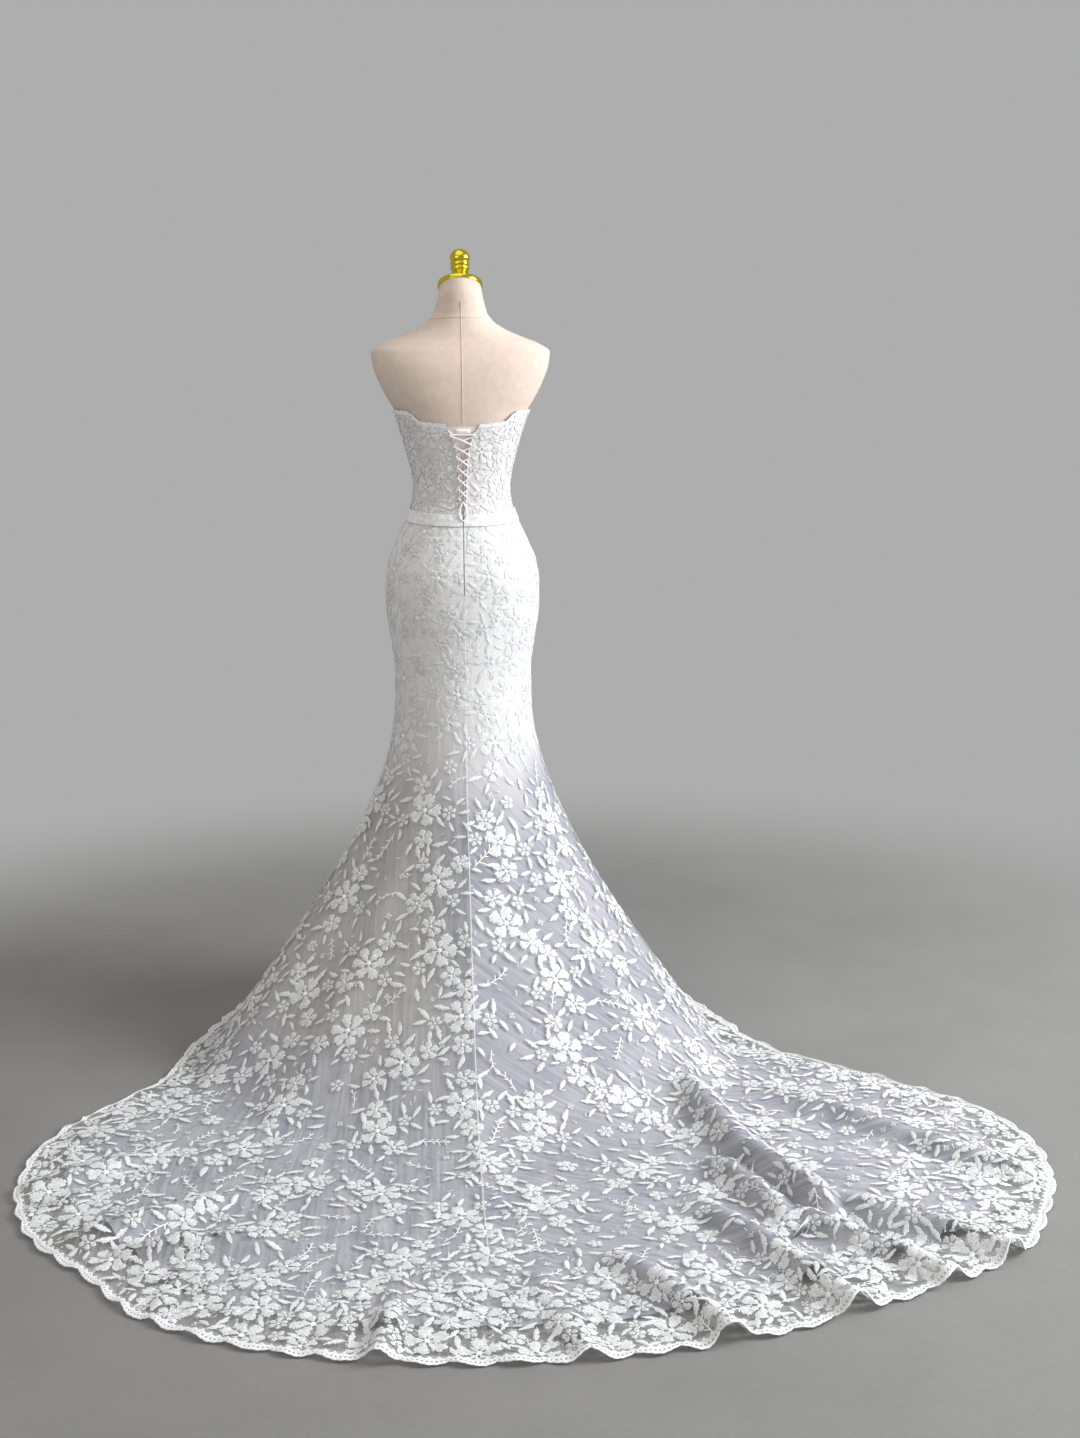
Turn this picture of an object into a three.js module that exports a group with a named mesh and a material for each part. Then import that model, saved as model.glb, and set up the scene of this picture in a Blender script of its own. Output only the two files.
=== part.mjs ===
// A strapless mermaid gown with a long train, standing on a limbless dress form.
// Millimetres, +Z up. The gown faces -Y, its train spreads to +Y, and +X is its left side.
// The origin is the centre of the form's base plate, on the floor.

import * as THREE from "three";

// Thickness of the cloths
const LACE_WALL = 1.2;
const LINING_WALL = 1.0;
const BAND_WALL = 1.0;

// How far the inner face of each layer stands off the form's skin on the body
const SEAM_GAP = 0.35;
const SKIRT_SEAM_GAP = 0.7;
const MODESTY_OFF = 0.5;
const LINING_OFF = 2.6;
const LACE_OFF = 4.2;
const BAND_OFF = 6.8;

// Levels
const WAIST_Z = 1114;
const WAIST_DIP = 8;
const KNEE_Z = 712;
const FORM_BOTTOM_Z = 850;

// Steps over which directions on a surface are measured: degrees of turn, share of a row
const TURN_STEP = 0.4;
const ROW_STEP = 0.01;

// The form's skin below the neck, as level sections
const FIGURE = [
  { z: 668, half: 146, front: 96, back: 134, square: 2.0 },
  { z: 712, half: 141, front: 95, back: 122, square: 2.0 },
  { z: 780, half: 139.5, front: 98, back: 113, square: 2.05 },
  { z: 850, half: 147, front: 103, back: 115, square: 2.1 },
  { z: 915, half: 156.5, front: 108, back: 121, square: 2.15 },
  { z: 971, half: 157, front: 108, back: 122, square: 2.2 },
  { z: 1014, half: 150, front: 105, back: 115, square: 2.15 },
  { z: 1056, half: 133, front: 97, back: 102, square: 2.1 },
  { z: 1090, half: 117, front: 89, back: 90, square: 2.1 },
  { z: 1119, half: 105, front: 84, back: 82, square: 2.1 },
  { z: 1145, half: 98, front: 82, back: 78, square: 2.1 },
  { z: 1167, half: 96.5, front: 82, back: 78, square: 2.1 },
  { z: 1195, half: 99, front: 85, back: 80, square: 2.1 },
  { z: 1230, half: 107, front: 92, back: 84, square: 2.15 },
  { z: 1264, half: 116, front: 98, back: 89, square: 2.2 },
  { z: 1296, half: 126, front: 102, back: 94, square: 2.25 },
  { z: 1329, half: 138, front: 99, back: 98, square: 2.3 },
  { z: 1350, half: 151, front: 94, back: 99, square: 2.4 },
  { z: 1388, half: 170, front: 86, back: 97, square: 2.5 },
  { z: 1420, half: 181, front: 78, back: 91, square: 2.5 },
  { z: 1446, half: 184, front: 68, back: 80, square: 2.4 },
  { z: 1462, half: 162, front: 61, back: 71, square: 2.2 },
  { z: 1476, half: 126, front: 56, back: 64, square: 2.0 },
  { z: 1496, half: 83, front: 50, back: 57, square: 2.0 },
  { z: 1514, half: 62, front: 47, back: 52, square: 2.0 },
  { z: 1530, half: 53.5, front: 46, back: 49, square: 2.0 },
];

// The two cups of the figure
const CUP = { turn: 31, z: 1280, rise: 11, formRise: 5, halfWidth: 21, halfHeight: 50 };

// The neck above the last section, cut off on a slant that rises to the back
const NECK = { z: 1552, half: 47, lowSlant: 11, topHalf: 43.5, topZ: 1574, slant: 25 };

// The skirt from the knee down, by the turn of its meridian from the centre back:
// where the meridian heads (azimuth), where it meets the floor and where the hem lies.
// Positive turns are the gown's left.
const SPREAD = [
  { turn: -180, azimuth: -180, foot: 398, hem: 428 },
  { turn: -145, azimuth: -146, foot: 410, hem: 438 },
  { turn: -112, azimuth: -112, foot: 455, hem: 480 },
  { turn: -90, azimuth: -87, foot: 512, hem: 540 },
  { turn: -78, azimuth: -77, foot: 538, hem: 592 },
  { turn: -68, azimuth: -68.5, foot: 562, hem: 668 },
  { turn: -60, azimuth: -63, foot: 582, hem: 900 },
  { turn: -53, azimuth: -58.5, foot: 602, hem: 1165 },
  { turn: -46, azimuth: -52.5, foot: 630, hem: 1308 },
  { turn: -38, azimuth: -43, foot: 660, hem: 1420 },
  { turn: -31, azimuth: -35.5, foot: 690, hem: 1474 },
  { turn: -24, azimuth: -27, foot: 715, hem: 1464 },
  { turn: -14, azimuth: -16, foot: 735, hem: 1468 },
  { turn: 0, azimuth: 0, foot: 745, hem: 1460 },
  { turn: 14, azimuth: 15, foot: 728, hem: 1438 },
  { turn: 22, azimuth: 23.5, foot: 708, hem: 1394 },
  { turn: 27, azimuth: 29, foot: 695, hem: 1326 },
  { turn: 35, azimuth: 37, foot: 675, hem: 1268 },
  { turn: 43, azimuth: 46.5, foot: 655, hem: 1134 },
  { turn: 50, azimuth: 53, foot: 648, hem: 990 },
  { turn: 57, azimuth: 57.5, foot: 645, hem: 815 },
  { turn: 65, azimuth: 61.5, foot: 640, hem: 708 },
  { turn: 75, azimuth: 71, foot: 575, hem: 628 },
  { turn: 90, azimuth: 88, foot: 508, hem: 540 },
  { turn: 112, azimuth: 112, foot: 455, hem: 480 },
  { turn: 145, azimuth: 146, foot: 410, hem: 438 },
  { turn: 180, azimuth: 180, foot: 398, hem: 428 },
];

// Shape of the flare between knee and floor, as shares of its reach and height:
// a straight cone at the sides and front, a slack slope down to the train
const FLARE = {
  side: { kneeLean: 0.02, kneeDrop: 0.33, footPull: 0.765, footRise: 0.19 },
  train: { kneeLean: 0.05, kneeDrop: 0.3, footPull: 0.69, footRise: 0.115 },
  trainTo: 20,
  sideFrom: 70,
};

// The centre back seam stands as a ridge while the train pulls it back
const RIDGE = { rise: 22, halfWidth: 95 };

// Above this height folds push the cloth outwards. Lower down they turn into a lift off the
// floor, of a share of their depth. The train's folds lose a share of theirs on steep cloth.
const STEEP = { height: 150, dragLift: 0.8, foldLoss: 0.6 };

// The largest folds: each runs over the cloth from one place to another, in azimuth and reach
const FOLDS = [
  { from: [-42, 620], to: [-31, 960], width: 62, rise: 44, start: 0.3, end: 0.15 },
  { from: [-31.5, 900], to: [-29.8, 1210], width: 55, rise: 52, start: 0.2, end: 0.2 },
  { from: [-30.2, 1120], to: [-35.5, 1470], width: 50, rise: 40, start: 0.2, end: 0.02 },
  { from: [-27.6, 900], to: [-26.2, 1200], width: 46, rise: 34, start: 0.3, end: 0.25 },
  { from: [-26.4, 1120], to: [-30.2, 1462], width: 44, rise: 30, start: 0.25, end: 0.02 },
  { from: [-20.5, 1010], to: [-22.6, 1472], width: 50, rise: 36, start: 0.45, end: 0.02 },
  { from: [-9.5, 1130], to: [-14.2, 1474], width: 48, rise: 34, start: 0.5, end: 0.02 },
  { from: [-3, 1180], to: [-5.5, 1462], width: 46, rise: 14, start: 0.6, end: 0.02 },
  { from: [6.5, 1230], to: [6.9, 1455], width: 40, rise: 20, start: 0.6, end: 0.02 },
  { from: [15, 1120], to: [29, 1245], width: 42, rise: 34, start: 0.45, end: 0.3 },
  { from: [24, 960], to: [33, 1255], width: 48, rise: 30, start: 0.5, end: 0.1 },
  { from: [40, 900], to: [43, 1170], width: 52, rise: 18, start: 0.5, end: 0.1 },
  { from: [-50, 760], to: [-47, 1330], width: 60, rise: 26, start: 0.35, end: 0.05 },
];

// Soft drag folds down the flare, from the knee to the foot: azimuth, width and depth
const DRAGS = [
  { azimuth: -72, halfWidth: 5.5, rise: 11 },
  { azimuth: -56, halfWidth: 5, rise: 16 },
  { azimuth: -38, halfWidth: 5, rise: 12 },
  { azimuth: 33, halfWidth: 5.5, rise: 11 },
  { azimuth: 54, halfWidth: 5.5, rise: 14 },
  { azimuth: 78, halfWidth: 6.5, rise: 10 },
  { azimuth: 112, halfWidth: 8, rise: 15 },
  { azimuth: 144, halfWidth: 8, rise: 13 },
  { azimuth: 180, halfWidth: 8, rise: 13 },
  { azimuth: -146, halfWidth: 8, rise: 14 },
  { azimuth: -112, halfWidth: 8, rise: 15 },
  { azimuth: -97, halfWidth: 6, rise: 9 },
];

// Where the cloth lies on the floor
const LACE_ON_LINING = 3.8;
const LACE_ON_FLOOR = 0.3;
const LINING_ON_FLOOR = 0.4;
const LINING_SHORT = 105;
const LINING_STEP = 60;
const LINING_DRAWN_IN = 4;

// Scalloped trims
const HEM_BORDER = { width: 17, depth: 9, pitch: 72, samples: 3 };
const NECK_EDGE = { width: 6, depth: 5, pitch: 27, samples: 2 };

// The neckline: height of the bodice's top by the turn from the centre back
const NECKLINE = [
  { turn: 0, z: 1297 },
  { turn: 24, z: 1300 },
  { turn: 38, z: 1304 },
  { turn: 50, z: 1323 },
  { turn: 70, z: 1325 },
  { turn: 95, z: 1322 },
  { turn: 125, z: 1336 },
  { turn: 150, z: 1352 },
  { turn: 166, z: 1338 },
  { turn: 180, z: 1304 },
];

// Half the width of the laced opening, by height
const OPENING = [
  { z: 1114, half: 0.3 },
  { z: 1129, half: 4.5 },
  { z: 1145, half: 6 },
  { z: 1200, half: 7.5 },
  { z: 1240, half: 11 },
  { z: 1270, half: 18.5 },
  { z: 1304, half: 33 },
];

// The cord's middle line: its height off the skin at the corners and where it crosses itself
const LACING = {
  crossings: 6, bottomZ: 1150, topZ: 1280, radius: 1.8, reach: 2.2,
  corner: 8.5, lower: 7.4, higher: 11.8, tailHalf: 3.8, tailDrop: 3,
};
const LOOPS = { count: 7, tape: 3, reach: 3.2, inset: 0.9, clear: 0.8, bottomZ: 1139, topZ: 1290 };
const DROP_LOOP = { topZ: 1143, bottomZ: 1106, half: 7.5, radius: 1.7, off: 10.2, narrow: 0.6 };
const MODESTY = { topZ: 1298, bottomZ: 1122, beyond: 11 };
const ZIP = { topZ: 1098, bottomZ: 952, half: 4, wall: 0.9 };
const WAISTBAND_HALF = 12;

const COLOURS = {
  lace: 0xf4f3f1,
  lining: 0xd9dade,
  nude: 0xdfc9bc,
  linen: 0xdccdb9,
  satin: 0xf3ece6,
  gold: 0xd8b21e,
  steel: 0xb9b9b7,
};

// Small maths

const rad = THREE.MathUtils.degToRad;
const lerp = THREE.MathUtils.lerp;
const clamp = THREE.MathUtils.clamp;
const smooth = (x, low, high) => THREE.MathUtils.smoothstep(x, low, high);

// Reads one column of a table at x, along a smooth line through its rows that never overshoots
function along(table, key, column, x) {
  const last = table.length - 1;
  if (x <= table[0][key]) return table[0][column];
  if (x >= table[last][key]) return table[last][column];
  let i = 0;
  while (x > table[i + 1][key]) i += 1;
  const slope = (k) => {
    if (k <= 0 || k >= last) return 0;
    const before = (table[k][column] - table[k - 1][column]) / (table[k][key] - table[k - 1][key]);
    const after = (table[k + 1][column] - table[k][column]) / (table[k + 1][key] - table[k][key]);
    return before * after <= 0 ? 0 : (2 * before * after) / (before + after);
  };
  const h = table[i + 1][key] - table[i][key];
  const t = (x - table[i][key]) / h;
  const a = table[i][column];
  const b = table[i + 1][column];
  return (
    a * (1 + 2 * t) * (1 - t) ** 2 + slope(i) * h * t * (1 - t) ** 2 +
    b * t * t * (3 - 2 * t) + slope(i + 1) * h * t * t * (t - 1)
  );
}

// A signed turn between -180 and 180
const wrap = (turn) => THREE.MathUtils.euclideanModulo(turn + 180, 360) - 180;

const bell = (x, halfWidth) => Math.exp(-((x / halfWidth) ** 2));

// The figure: a point of the form's skin at a turn from the centre back and a height

function skin(turn, z, cupRise = CUP.rise) {
  const half = along(FIGURE, "z", "half", z);
  const depth = along(FIGURE, "z", Math.abs(wrap(turn)) > 90 ? "front" : "back", z);
  const power = 2 / along(FIGURE, "z", "square", z);
  const s = Math.sin(rad(turn));
  const c = Math.cos(rad(turn));
  const x = half * Math.sign(s) * Math.abs(s) ** power;
  const y = depth * Math.sign(c) * Math.abs(c) ** power;
  const side = 180 - Math.abs(wrap(turn)) - CUP.turn;
  const cup = cupRise * bell(side, CUP.halfWidth) * bell(z - CUP.z, CUP.halfHeight);
  return new THREE.Vector3(x, y - cup, z);
}

// The turn at which the back of the figure is a given distance from the middle
function turnAt(x, z) {
  const half = along(FIGURE, "z", "half", z);
  const square = along(FIGURE, "z", "square", z);
  return THREE.MathUtils.radToDeg(Math.asin((Math.abs(x) / half) ** (square / 2))) * Math.sign(x);
}

// The skirt's base surface: v runs 0 at the knee, 1 at the floor and 2 at the hem

function skirtBelowKnee(turn, v) {
  const t = wrap(turn);
  const knee = skin(t, KNEE_Z);
  const kneeReach = Math.hypot(knee.x, knee.y);
  const kneeAzimuth = THREE.MathUtils.radToDeg(Math.atan2(knee.x, knee.y));
  const foot = along(SPREAD, "turn", "foot", t);
  const hem = along(SPREAD, "turn", "hem", t);
  const azimuth = lerp(kneeAzimuth, along(SPREAD, "turn", "azimuth", t), smooth(v, 0, 1));
  let reach = lerp(foot, hem, v - 1);
  let z = 0;
  if (v < 1) {
    const span = foot - kneeReach;
    const toSide = smooth(Math.abs(azimuth), FLARE.trainTo, FLARE.sideFrom);
    const shape = (key) => lerp(FLARE.train[key], FLARE.side[key], toSide);
    const curve = (a, b, c, d) =>
      a * (1 - v) ** 3 + 3 * b * v * (1 - v) ** 2 + 3 * c * v * v * (1 - v) + d * v ** 3;
    reach = curve(kneeReach, kneeReach + span * shape("kneeLean"), foot * shape("footPull"), foot);
    z = curve(KNEE_Z, KNEE_Z * (1 - shape("kneeDrop")), KNEE_Z * shape("footRise"), 0);
  }
  return { azimuth, reach, z };
}

// Height of the folds over a place on the train
function foldRise(azimuth, reach) {
  const x = reach * Math.sin(rad(azimuth));
  const y = reach * Math.cos(rad(azimuth));
  let rise = 0;
  for (const fold of FOLDS) {
    const ax = fold.from[1] * Math.sin(rad(fold.from[0]));
    const ay = fold.from[1] * Math.cos(rad(fold.from[0]));
    const bx = fold.to[1] * Math.sin(rad(fold.to[0]));
    const by = fold.to[1] * Math.cos(rad(fold.to[0]));
    const length = Math.hypot(bx - ax, by - ay);
    const s = ((x - ax) * (bx - ax) + (y - ay) * (by - ay)) / length / length;
    const off = ((x - ax) * (by - ay) - (y - ay) * (bx - ax)) / length;
    const ends = smooth(s, -0.12, fold.start) * (1 - smooth(s, 1 - fold.end, 1.12));
    rise = Math.max(rise, fold.rise * ends * bell(off, fold.width / 2));
  }
  return rise;
}

// A point of the skirt's base surface, folds included where they are asked for
function skirtPoint(turn, row, folded) {
  if (row.z !== undefined) return skin(turn, row.z);
  const { azimuth, reach, z } = skirtBelowKnee(turn, row.v);
  const flare = smooth(row.v, 0.1, 0.75) * (1 - smooth(row.v, 0.95, 1.25));
  let out = 0;
  if (folded) {
    for (const drag of DRAGS) {
      out += drag.rise * flare * bell(wrap(azimuth - drag.azimuth), drag.halfWidth);
    }
    const offSeam = Math.abs(azimuth) * rad(1) * reach;
    const ridge = smooth(row.v, 0.05, 0.5) * (1 - smooth(row.v, 1, 1.5));
    out += RIDGE.rise * ridge * Math.exp(-offSeam / RIDGE.halfWidth);
  }
  const steep = clamp(z / STEEP.height, 0, 1);
  const lift = folded ? foldRise(azimuth, reach) : 0;
  const r = reach + out * steep;
  const x = r * Math.sin(rad(azimuth));
  const y = r * Math.cos(rad(azimuth));
  const rise = out * (1 - steep) * STEEP.dragLift + lift * (1 - STEEP.foldLoss * steep);
  return new THREE.Vector3(x, y, z + rise);
}

// The surface's outward normal, from its neighbours along the turn and down the cloth
function skirtNormal(turn, row, folded) {
  const place = (dTurn, dRow) => {
    const at = row.z !== undefined ? row : { v: row.v + dRow };
    return skirtPoint(turn + dTurn, at, folded);
  };
  const across = place(TURN_STEP, 0).sub(place(-TURN_STEP, 0));
  const down = place(0, ROW_STEP).sub(place(0, -ROW_STEP));
  if (row.z !== undefined) down.set(0, 0, -1);
  return new THREE.Vector3().crossVectors(across, down).normalize();
}

const waistZ = (turn) => WAIST_Z - WAIST_DIP * Math.cos(rad(turn));

const bodyNormal = (turn, z) => {
  const across = skin(turn + TURN_STEP, z).sub(skin(turn - TURN_STEP, z));
  return new THREE.Vector3(-across.y, across.x, 0).normalize();
};

// A point off the figure's skin, along its level normal
const offSkin = (turn, z, out) => skin(turn, z).addScaledVector(bodyNormal(turn, z), out);

// Solids

// A closed wall from two grids of points with the same rows and columns. A grid is a list of
// columns, and a ring joins its last column to its first.
function wall(outer, inner, ring = false) {
  const columns = outer.length;
  const rows = outer[0].length;
  const position = [];
  for (const grid of [outer, inner]) {
    for (const column of grid) for (const p of column) position.push(p.x, p.y, p.z);
  }
  const at = (side, i, j) => side * columns * rows + (i % columns) * rows + j;
  const index = [];
  const quad = (a, b, c, d) => index.push(a, c, b, a, d, c);
  const spans = ring ? columns : columns - 1;
  for (let i = 0; i < spans; i += 1) {
    for (let j = 0; j < rows - 1; j += 1) {
      quad(at(0, i, j), at(0, i, j + 1), at(0, i + 1, j + 1), at(0, i + 1, j));
      quad(at(1, i, j), at(1, i + 1, j), at(1, i + 1, j + 1), at(1, i, j + 1));
    }
    quad(at(0, i + 1, 0), at(1, i + 1, 0), at(1, i, 0), at(0, i, 0));
    quad(at(0, i, rows - 1), at(1, i, rows - 1), at(1, i + 1, rows - 1), at(0, i + 1, rows - 1));
  }
  if (!ring) {
    for (let j = 0; j < rows - 1; j += 1) {
      quad(at(0, 0, j), at(1, 0, j), at(1, 0, j + 1), at(0, 0, j + 1));
      const end = columns - 1;
      quad(at(0, end, j + 1), at(1, end, j + 1), at(1, end, j), at(0, end, j));
    }
  }
  const geometry = new THREE.BufferGeometry();
  geometry.setAttribute("position", new THREE.Float32BufferAttribute(position, 3));
  geometry.setIndex(index);
  return geometry;
}

// A solid through level rings of points, closed at both ends by a fan about a middle point
function stack(rings) {
  const sides = rings[0].length;
  const position = [];
  const middle = (ring) =>
    ring.reduce((sum, p) => sum.add(p), new THREE.Vector3()).divideScalar(sides);
  for (const p of rings.flat()) position.push(p.x, p.y, p.z);
  const low = middle(rings[0]);
  const high = middle(rings[rings.length - 1]);
  position.push(low.x, low.y, low.z, high.x, high.y, high.z);
  const index = [];
  for (let j = 0; j < rings.length - 1; j += 1) {
    for (let i = 0; i < sides; i += 1) {
      const a = j * sides + i;
      const b = j * sides + ((i + 1) % sides);
      index.push(a, a + sides, b, b, a + sides, b + sides);
    }
  }
  const top = (rings.length - 1) * sides;
  const lowMiddle = rings.length * sides;
  for (let i = 0; i < sides; i += 1) {
    const next = (i + 1) % sides;
    index.push(lowMiddle, i, next, lowMiddle + 1, top + next, top + i);
  }
  const geometry = new THREE.BufferGeometry();
  geometry.setAttribute("position", new THREE.Float32BufferAttribute(position, 3));
  geometry.setIndex(index);
  return geometry;
}

const gown = new THREE.Group();

function add(name, geometry, colour, roughness = 0.8, metalness = 0) {
  const material = new THREE.MeshStandardMaterial({ color: colour, roughness, metalness });
  const mesh = new THREE.Mesh(geometry, material);
  mesh.name = name;
  gown.add(mesh);
  return mesh;
}

// Evenly spaced numbers from one value to another, both included
const steps = (from, to, count) =>
  Array.from({ length: count + 1 }, (_, i) => lerp(from, to, i / count));

// The skirt's columns lie close where the hem is long and where folds stand
const SPACING = { samples: 400, foldTurn: -28, foldWidth: 20, foldWeight: 0.9, turnWeight: 2.2 };

function skirtColumns(from, to, count) {
  const fine = steps(from, to, SPACING.samples);
  const busy = [0];
  for (let i = 1; i < fine.length; i += 1) {
    const a = skirtPoint(fine[i - 1], { v: 2 }, false);
    const b = skirtPoint(fine[i], { v: 2 }, false);
    const folds = SPACING.foldWeight * bell(fine[i] - SPACING.foldTurn, SPACING.foldWidth);
    const turned = SPACING.turnWeight * (fine[i] - fine[i - 1]);
    busy.push(busy[i - 1] + a.distanceTo(b) * (1 + folds) + turned);
  }
  const total = busy[busy.length - 1];
  return steps(0, total, count).map((goal) => {
    let i = 1;
    while (i < busy.length - 1 && busy[i] < goal) i += 1;
    return lerp(fine[i - 1], fine[i], (goal - busy[i - 1]) / (busy[i] - busy[i - 1]));
  });
}

// Rows of the skirt: levels on the body, then shares of the flare and of the floor
const BODY_LEVELS = [1056, 1014, 971, 915, 850, 780];
const FLARE_ROWS = [0, 0.14, 0.27, 0.4, 0.53, 0.66, 0.79, 0.91];
const LAST_FLARE_ROW = FLARE_ROWS[FLARE_ROWS.length - 1];
const FOOT_ROW = 1.03;
const FLOOR_ROWS = [FOOT_ROW, 1.22, 1.45, 1.7, 2];
const TRAIN_ROWS = FLOOR_ROWS.length;
const LINING_FRONT_END = 0.965;

const bodyRows = [{ top: true }, ...BODY_LEVELS.map((z) => ({ z }))];
const flareRows = FLARE_ROWS.map((v) => ({ v }));
const backRows = [...bodyRows, ...flareRows, ...FLOOR_ROWS.map((v) => ({ v }))];
const frontRows = [...bodyRows, ...flareRows, { v: FOOT_ROW }, { v: 2 }];
const LINING_PAST_FOOT = 12;

// Where a layer ends below the knee. The lace stops at the border. The lining stops well short
// of the train's hem, and rises clear of the floor towards the centre front.
function layerEnd(turn, layer) {
  const t = wrap(turn);
  const onFloor = along(SPREAD, "turn", "hem", t) - along(SPREAD, "turn", "foot", t);
  if (!layer.lining) return 1 + (onFloor - layer.shorten) / onFloor;
  if (Math.abs(t) > 90) return lerp(FOOT_ROW, LINING_FRONT_END, smooth(Math.abs(t), 90, 120));
  return Math.max(1 + (onFloor - layer.shorten) / onFloor, FOOT_ROW + LINING_PAST_FOOT / onFloor);
}

// A row of a panel, with the rows past the layer's own level sharing what is left
function panelRow(turn, row, rows, layer) {
  const liningEven = Math.abs(wrap(turn)) > 90 ? LAST_FLARE_ROW : FOOT_ROW;
  const evenTo = layer.lining ? liningEven : 1;
  if (row.v === undefined || row.v <= evenTo) return row;
  const share = (row.v - evenTo) / (rows[rows.length - 1].v - evenTo);
  return { v: lerp(evenTo, layerEnd(turn, layer), share) };
}

// How high the inner face of a layer stands off the base surface at a row
function layerOff(layer, turn, row) {
  if (row.v === undefined || row.v === 0) return layer.body;
  const foot = along(SPREAD, "turn", "foot", wrap(turn));
  const hem = along(SPREAD, "turn", "hem", wrap(turn));
  const toFloor = smooth(row.v, 0.5, 1);
  if (layer.lining) {
    const hanging = layer.body - LINING_DRAWN_IN * smooth(row.v, 0.05, 0.4);
    return lerp(hanging, LINING_ON_FLOOR, toFloor);
  }
  const liningEnd = layerEnd(turn, LINING);
  const stepEnd = Math.min(liningEnd + LINING_STEP / (hem - foot), layerEnd(turn, LACE));
  const onFloor = lerp(LACE_ON_LINING, LACE_ON_FLOOR, smooth(row.v, liningEnd, stepEnd));
  return lerp(layer.body, onFloor, toFloor);
}

// A panel of the skirt between two turns
function skirtPanel(columns, rows, layer, topZ) {
  const outer = [];
  const inner = [];
  const last = columns.length - 1;
  columns.forEach((turn, i) => {
    const outerColumn = [];
    const innerColumn = [];
    const sideways = i === 0 ? 1 : i === last ? -1 : 0;
    rows.forEach((fullRow, j) => {
      const row = fullRow.top
        ? { z: topZ(turn) }
        : panelRow(turn, fullRow, rows, layer);
      const point = skirtPoint(turn, row, layer.folded);
      const normal = skirtNormal(turn, row, layer.folded);
      const across = skirtPoint(turn + TURN_STEP, row, layer.folded).sub(point).normalize();
      point.addScaledVector(across, (sideways * SKIRT_SEAM_GAP) / 2);
      const off = layerOff(layer, turn, row);
      innerColumn.push(point.clone().addScaledVector(normal, off));
      outerColumn.push(point.clone().addScaledVector(normal, off + layer.wall));
    });
    outer.push(outerColumn);
    inner.push(innerColumn);
  });
  return { outer, inner };
}

const LACE = {
  body: LACE_OFF, wall: LACE_WALL, shorten: HEM_BORDER.width, folded: true,
};
const LINING = {
  body: LINING_OFF, wall: LINING_WALL, shorten: LINING_SHORT, lining: true,
};

// A scalloped strip that carries a panel's edge on. It follows the edge's own corners.
// corners holds, for each corner, the edge's outer and inner points and the way out.
function scallopedStrip(corners, trim) {
  const distance = [0];
  for (let i = 1; i < corners.length; i += 1) {
    distance.push(distance[i - 1] + corners[i].outer.distanceTo(corners[i - 1].outer));
  }
  const total = distance[distance.length - 1];
  const count = Math.max(1, Math.round(total / trim.pitch));
  const samples = steps(0, total, count * trim.samples);
  const places = [...distance];
  for (const s of samples) {
    if (distance.every((d) => Math.abs(d - s) > trim.pitch / 5)) places.push(s);
  }
  places.sort((a, b) => a - b);
  const grids = { outer: [], inner: [] };
  places.forEach((s, k) => {
    let i = 1;
    while (i < distance.length - 1 && distance[i] < s) i += 1;
    const t = (s - distance[i - 1]) / (distance[i] - distance[i - 1]);
    const a = corners[i - 1];
    const b = corners[i];
    const way = a.way.clone().lerp(b.way, t).normalize();
    const forward = b.outer.clone().sub(a.outer).normalize();
    const inset = k === 0 ? 1 : k === places.length - 1 ? -1 : 0;
    const wave = Math.abs(Math.sin(Math.PI * ((s / total) * count)));
    const reach = trim.width + trim.depth * (wave - 0.5);
    for (const side of ["outer", "inner"]) {
      const near = a[side].clone().lerp(b[side], t).addScaledVector(way, SEAM_GAP);
      near.addScaledVector(forward, (inset * SEAM_GAP) / 2);
      grids[side].push([near, near.clone().addScaledVector(way, reach - SEAM_GAP)]);
    }
  });
  return grids;
}

// Dress form

function buildForm() {
  const turns = steps(0, 360, 32).slice(0, -1);
  const levels = FIGURE.filter((row) => row.z >= FORM_BOTTOM_Z).map((row) => row.z);
  const rings = levels.map((z) => turns.map((turn) => skin(turn, z, CUP.formRise)));
  const collar = (half, z, slant) =>
    turns.map((turn) => {
      const x = half * Math.sin(rad(turn));
      const y = half * Math.cos(rad(turn));
      return new THREE.Vector3(x, y, z + y * Math.tan(rad(slant)));
    });
  rings.push(collar(NECK.half, NECK.z, NECK.lowSlant));
  rings.push(collar(NECK.topHalf, NECK.topZ, NECK.slant));
  add("form_torso", stack(rings), COLOURS.linen, 0.9);
}

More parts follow.
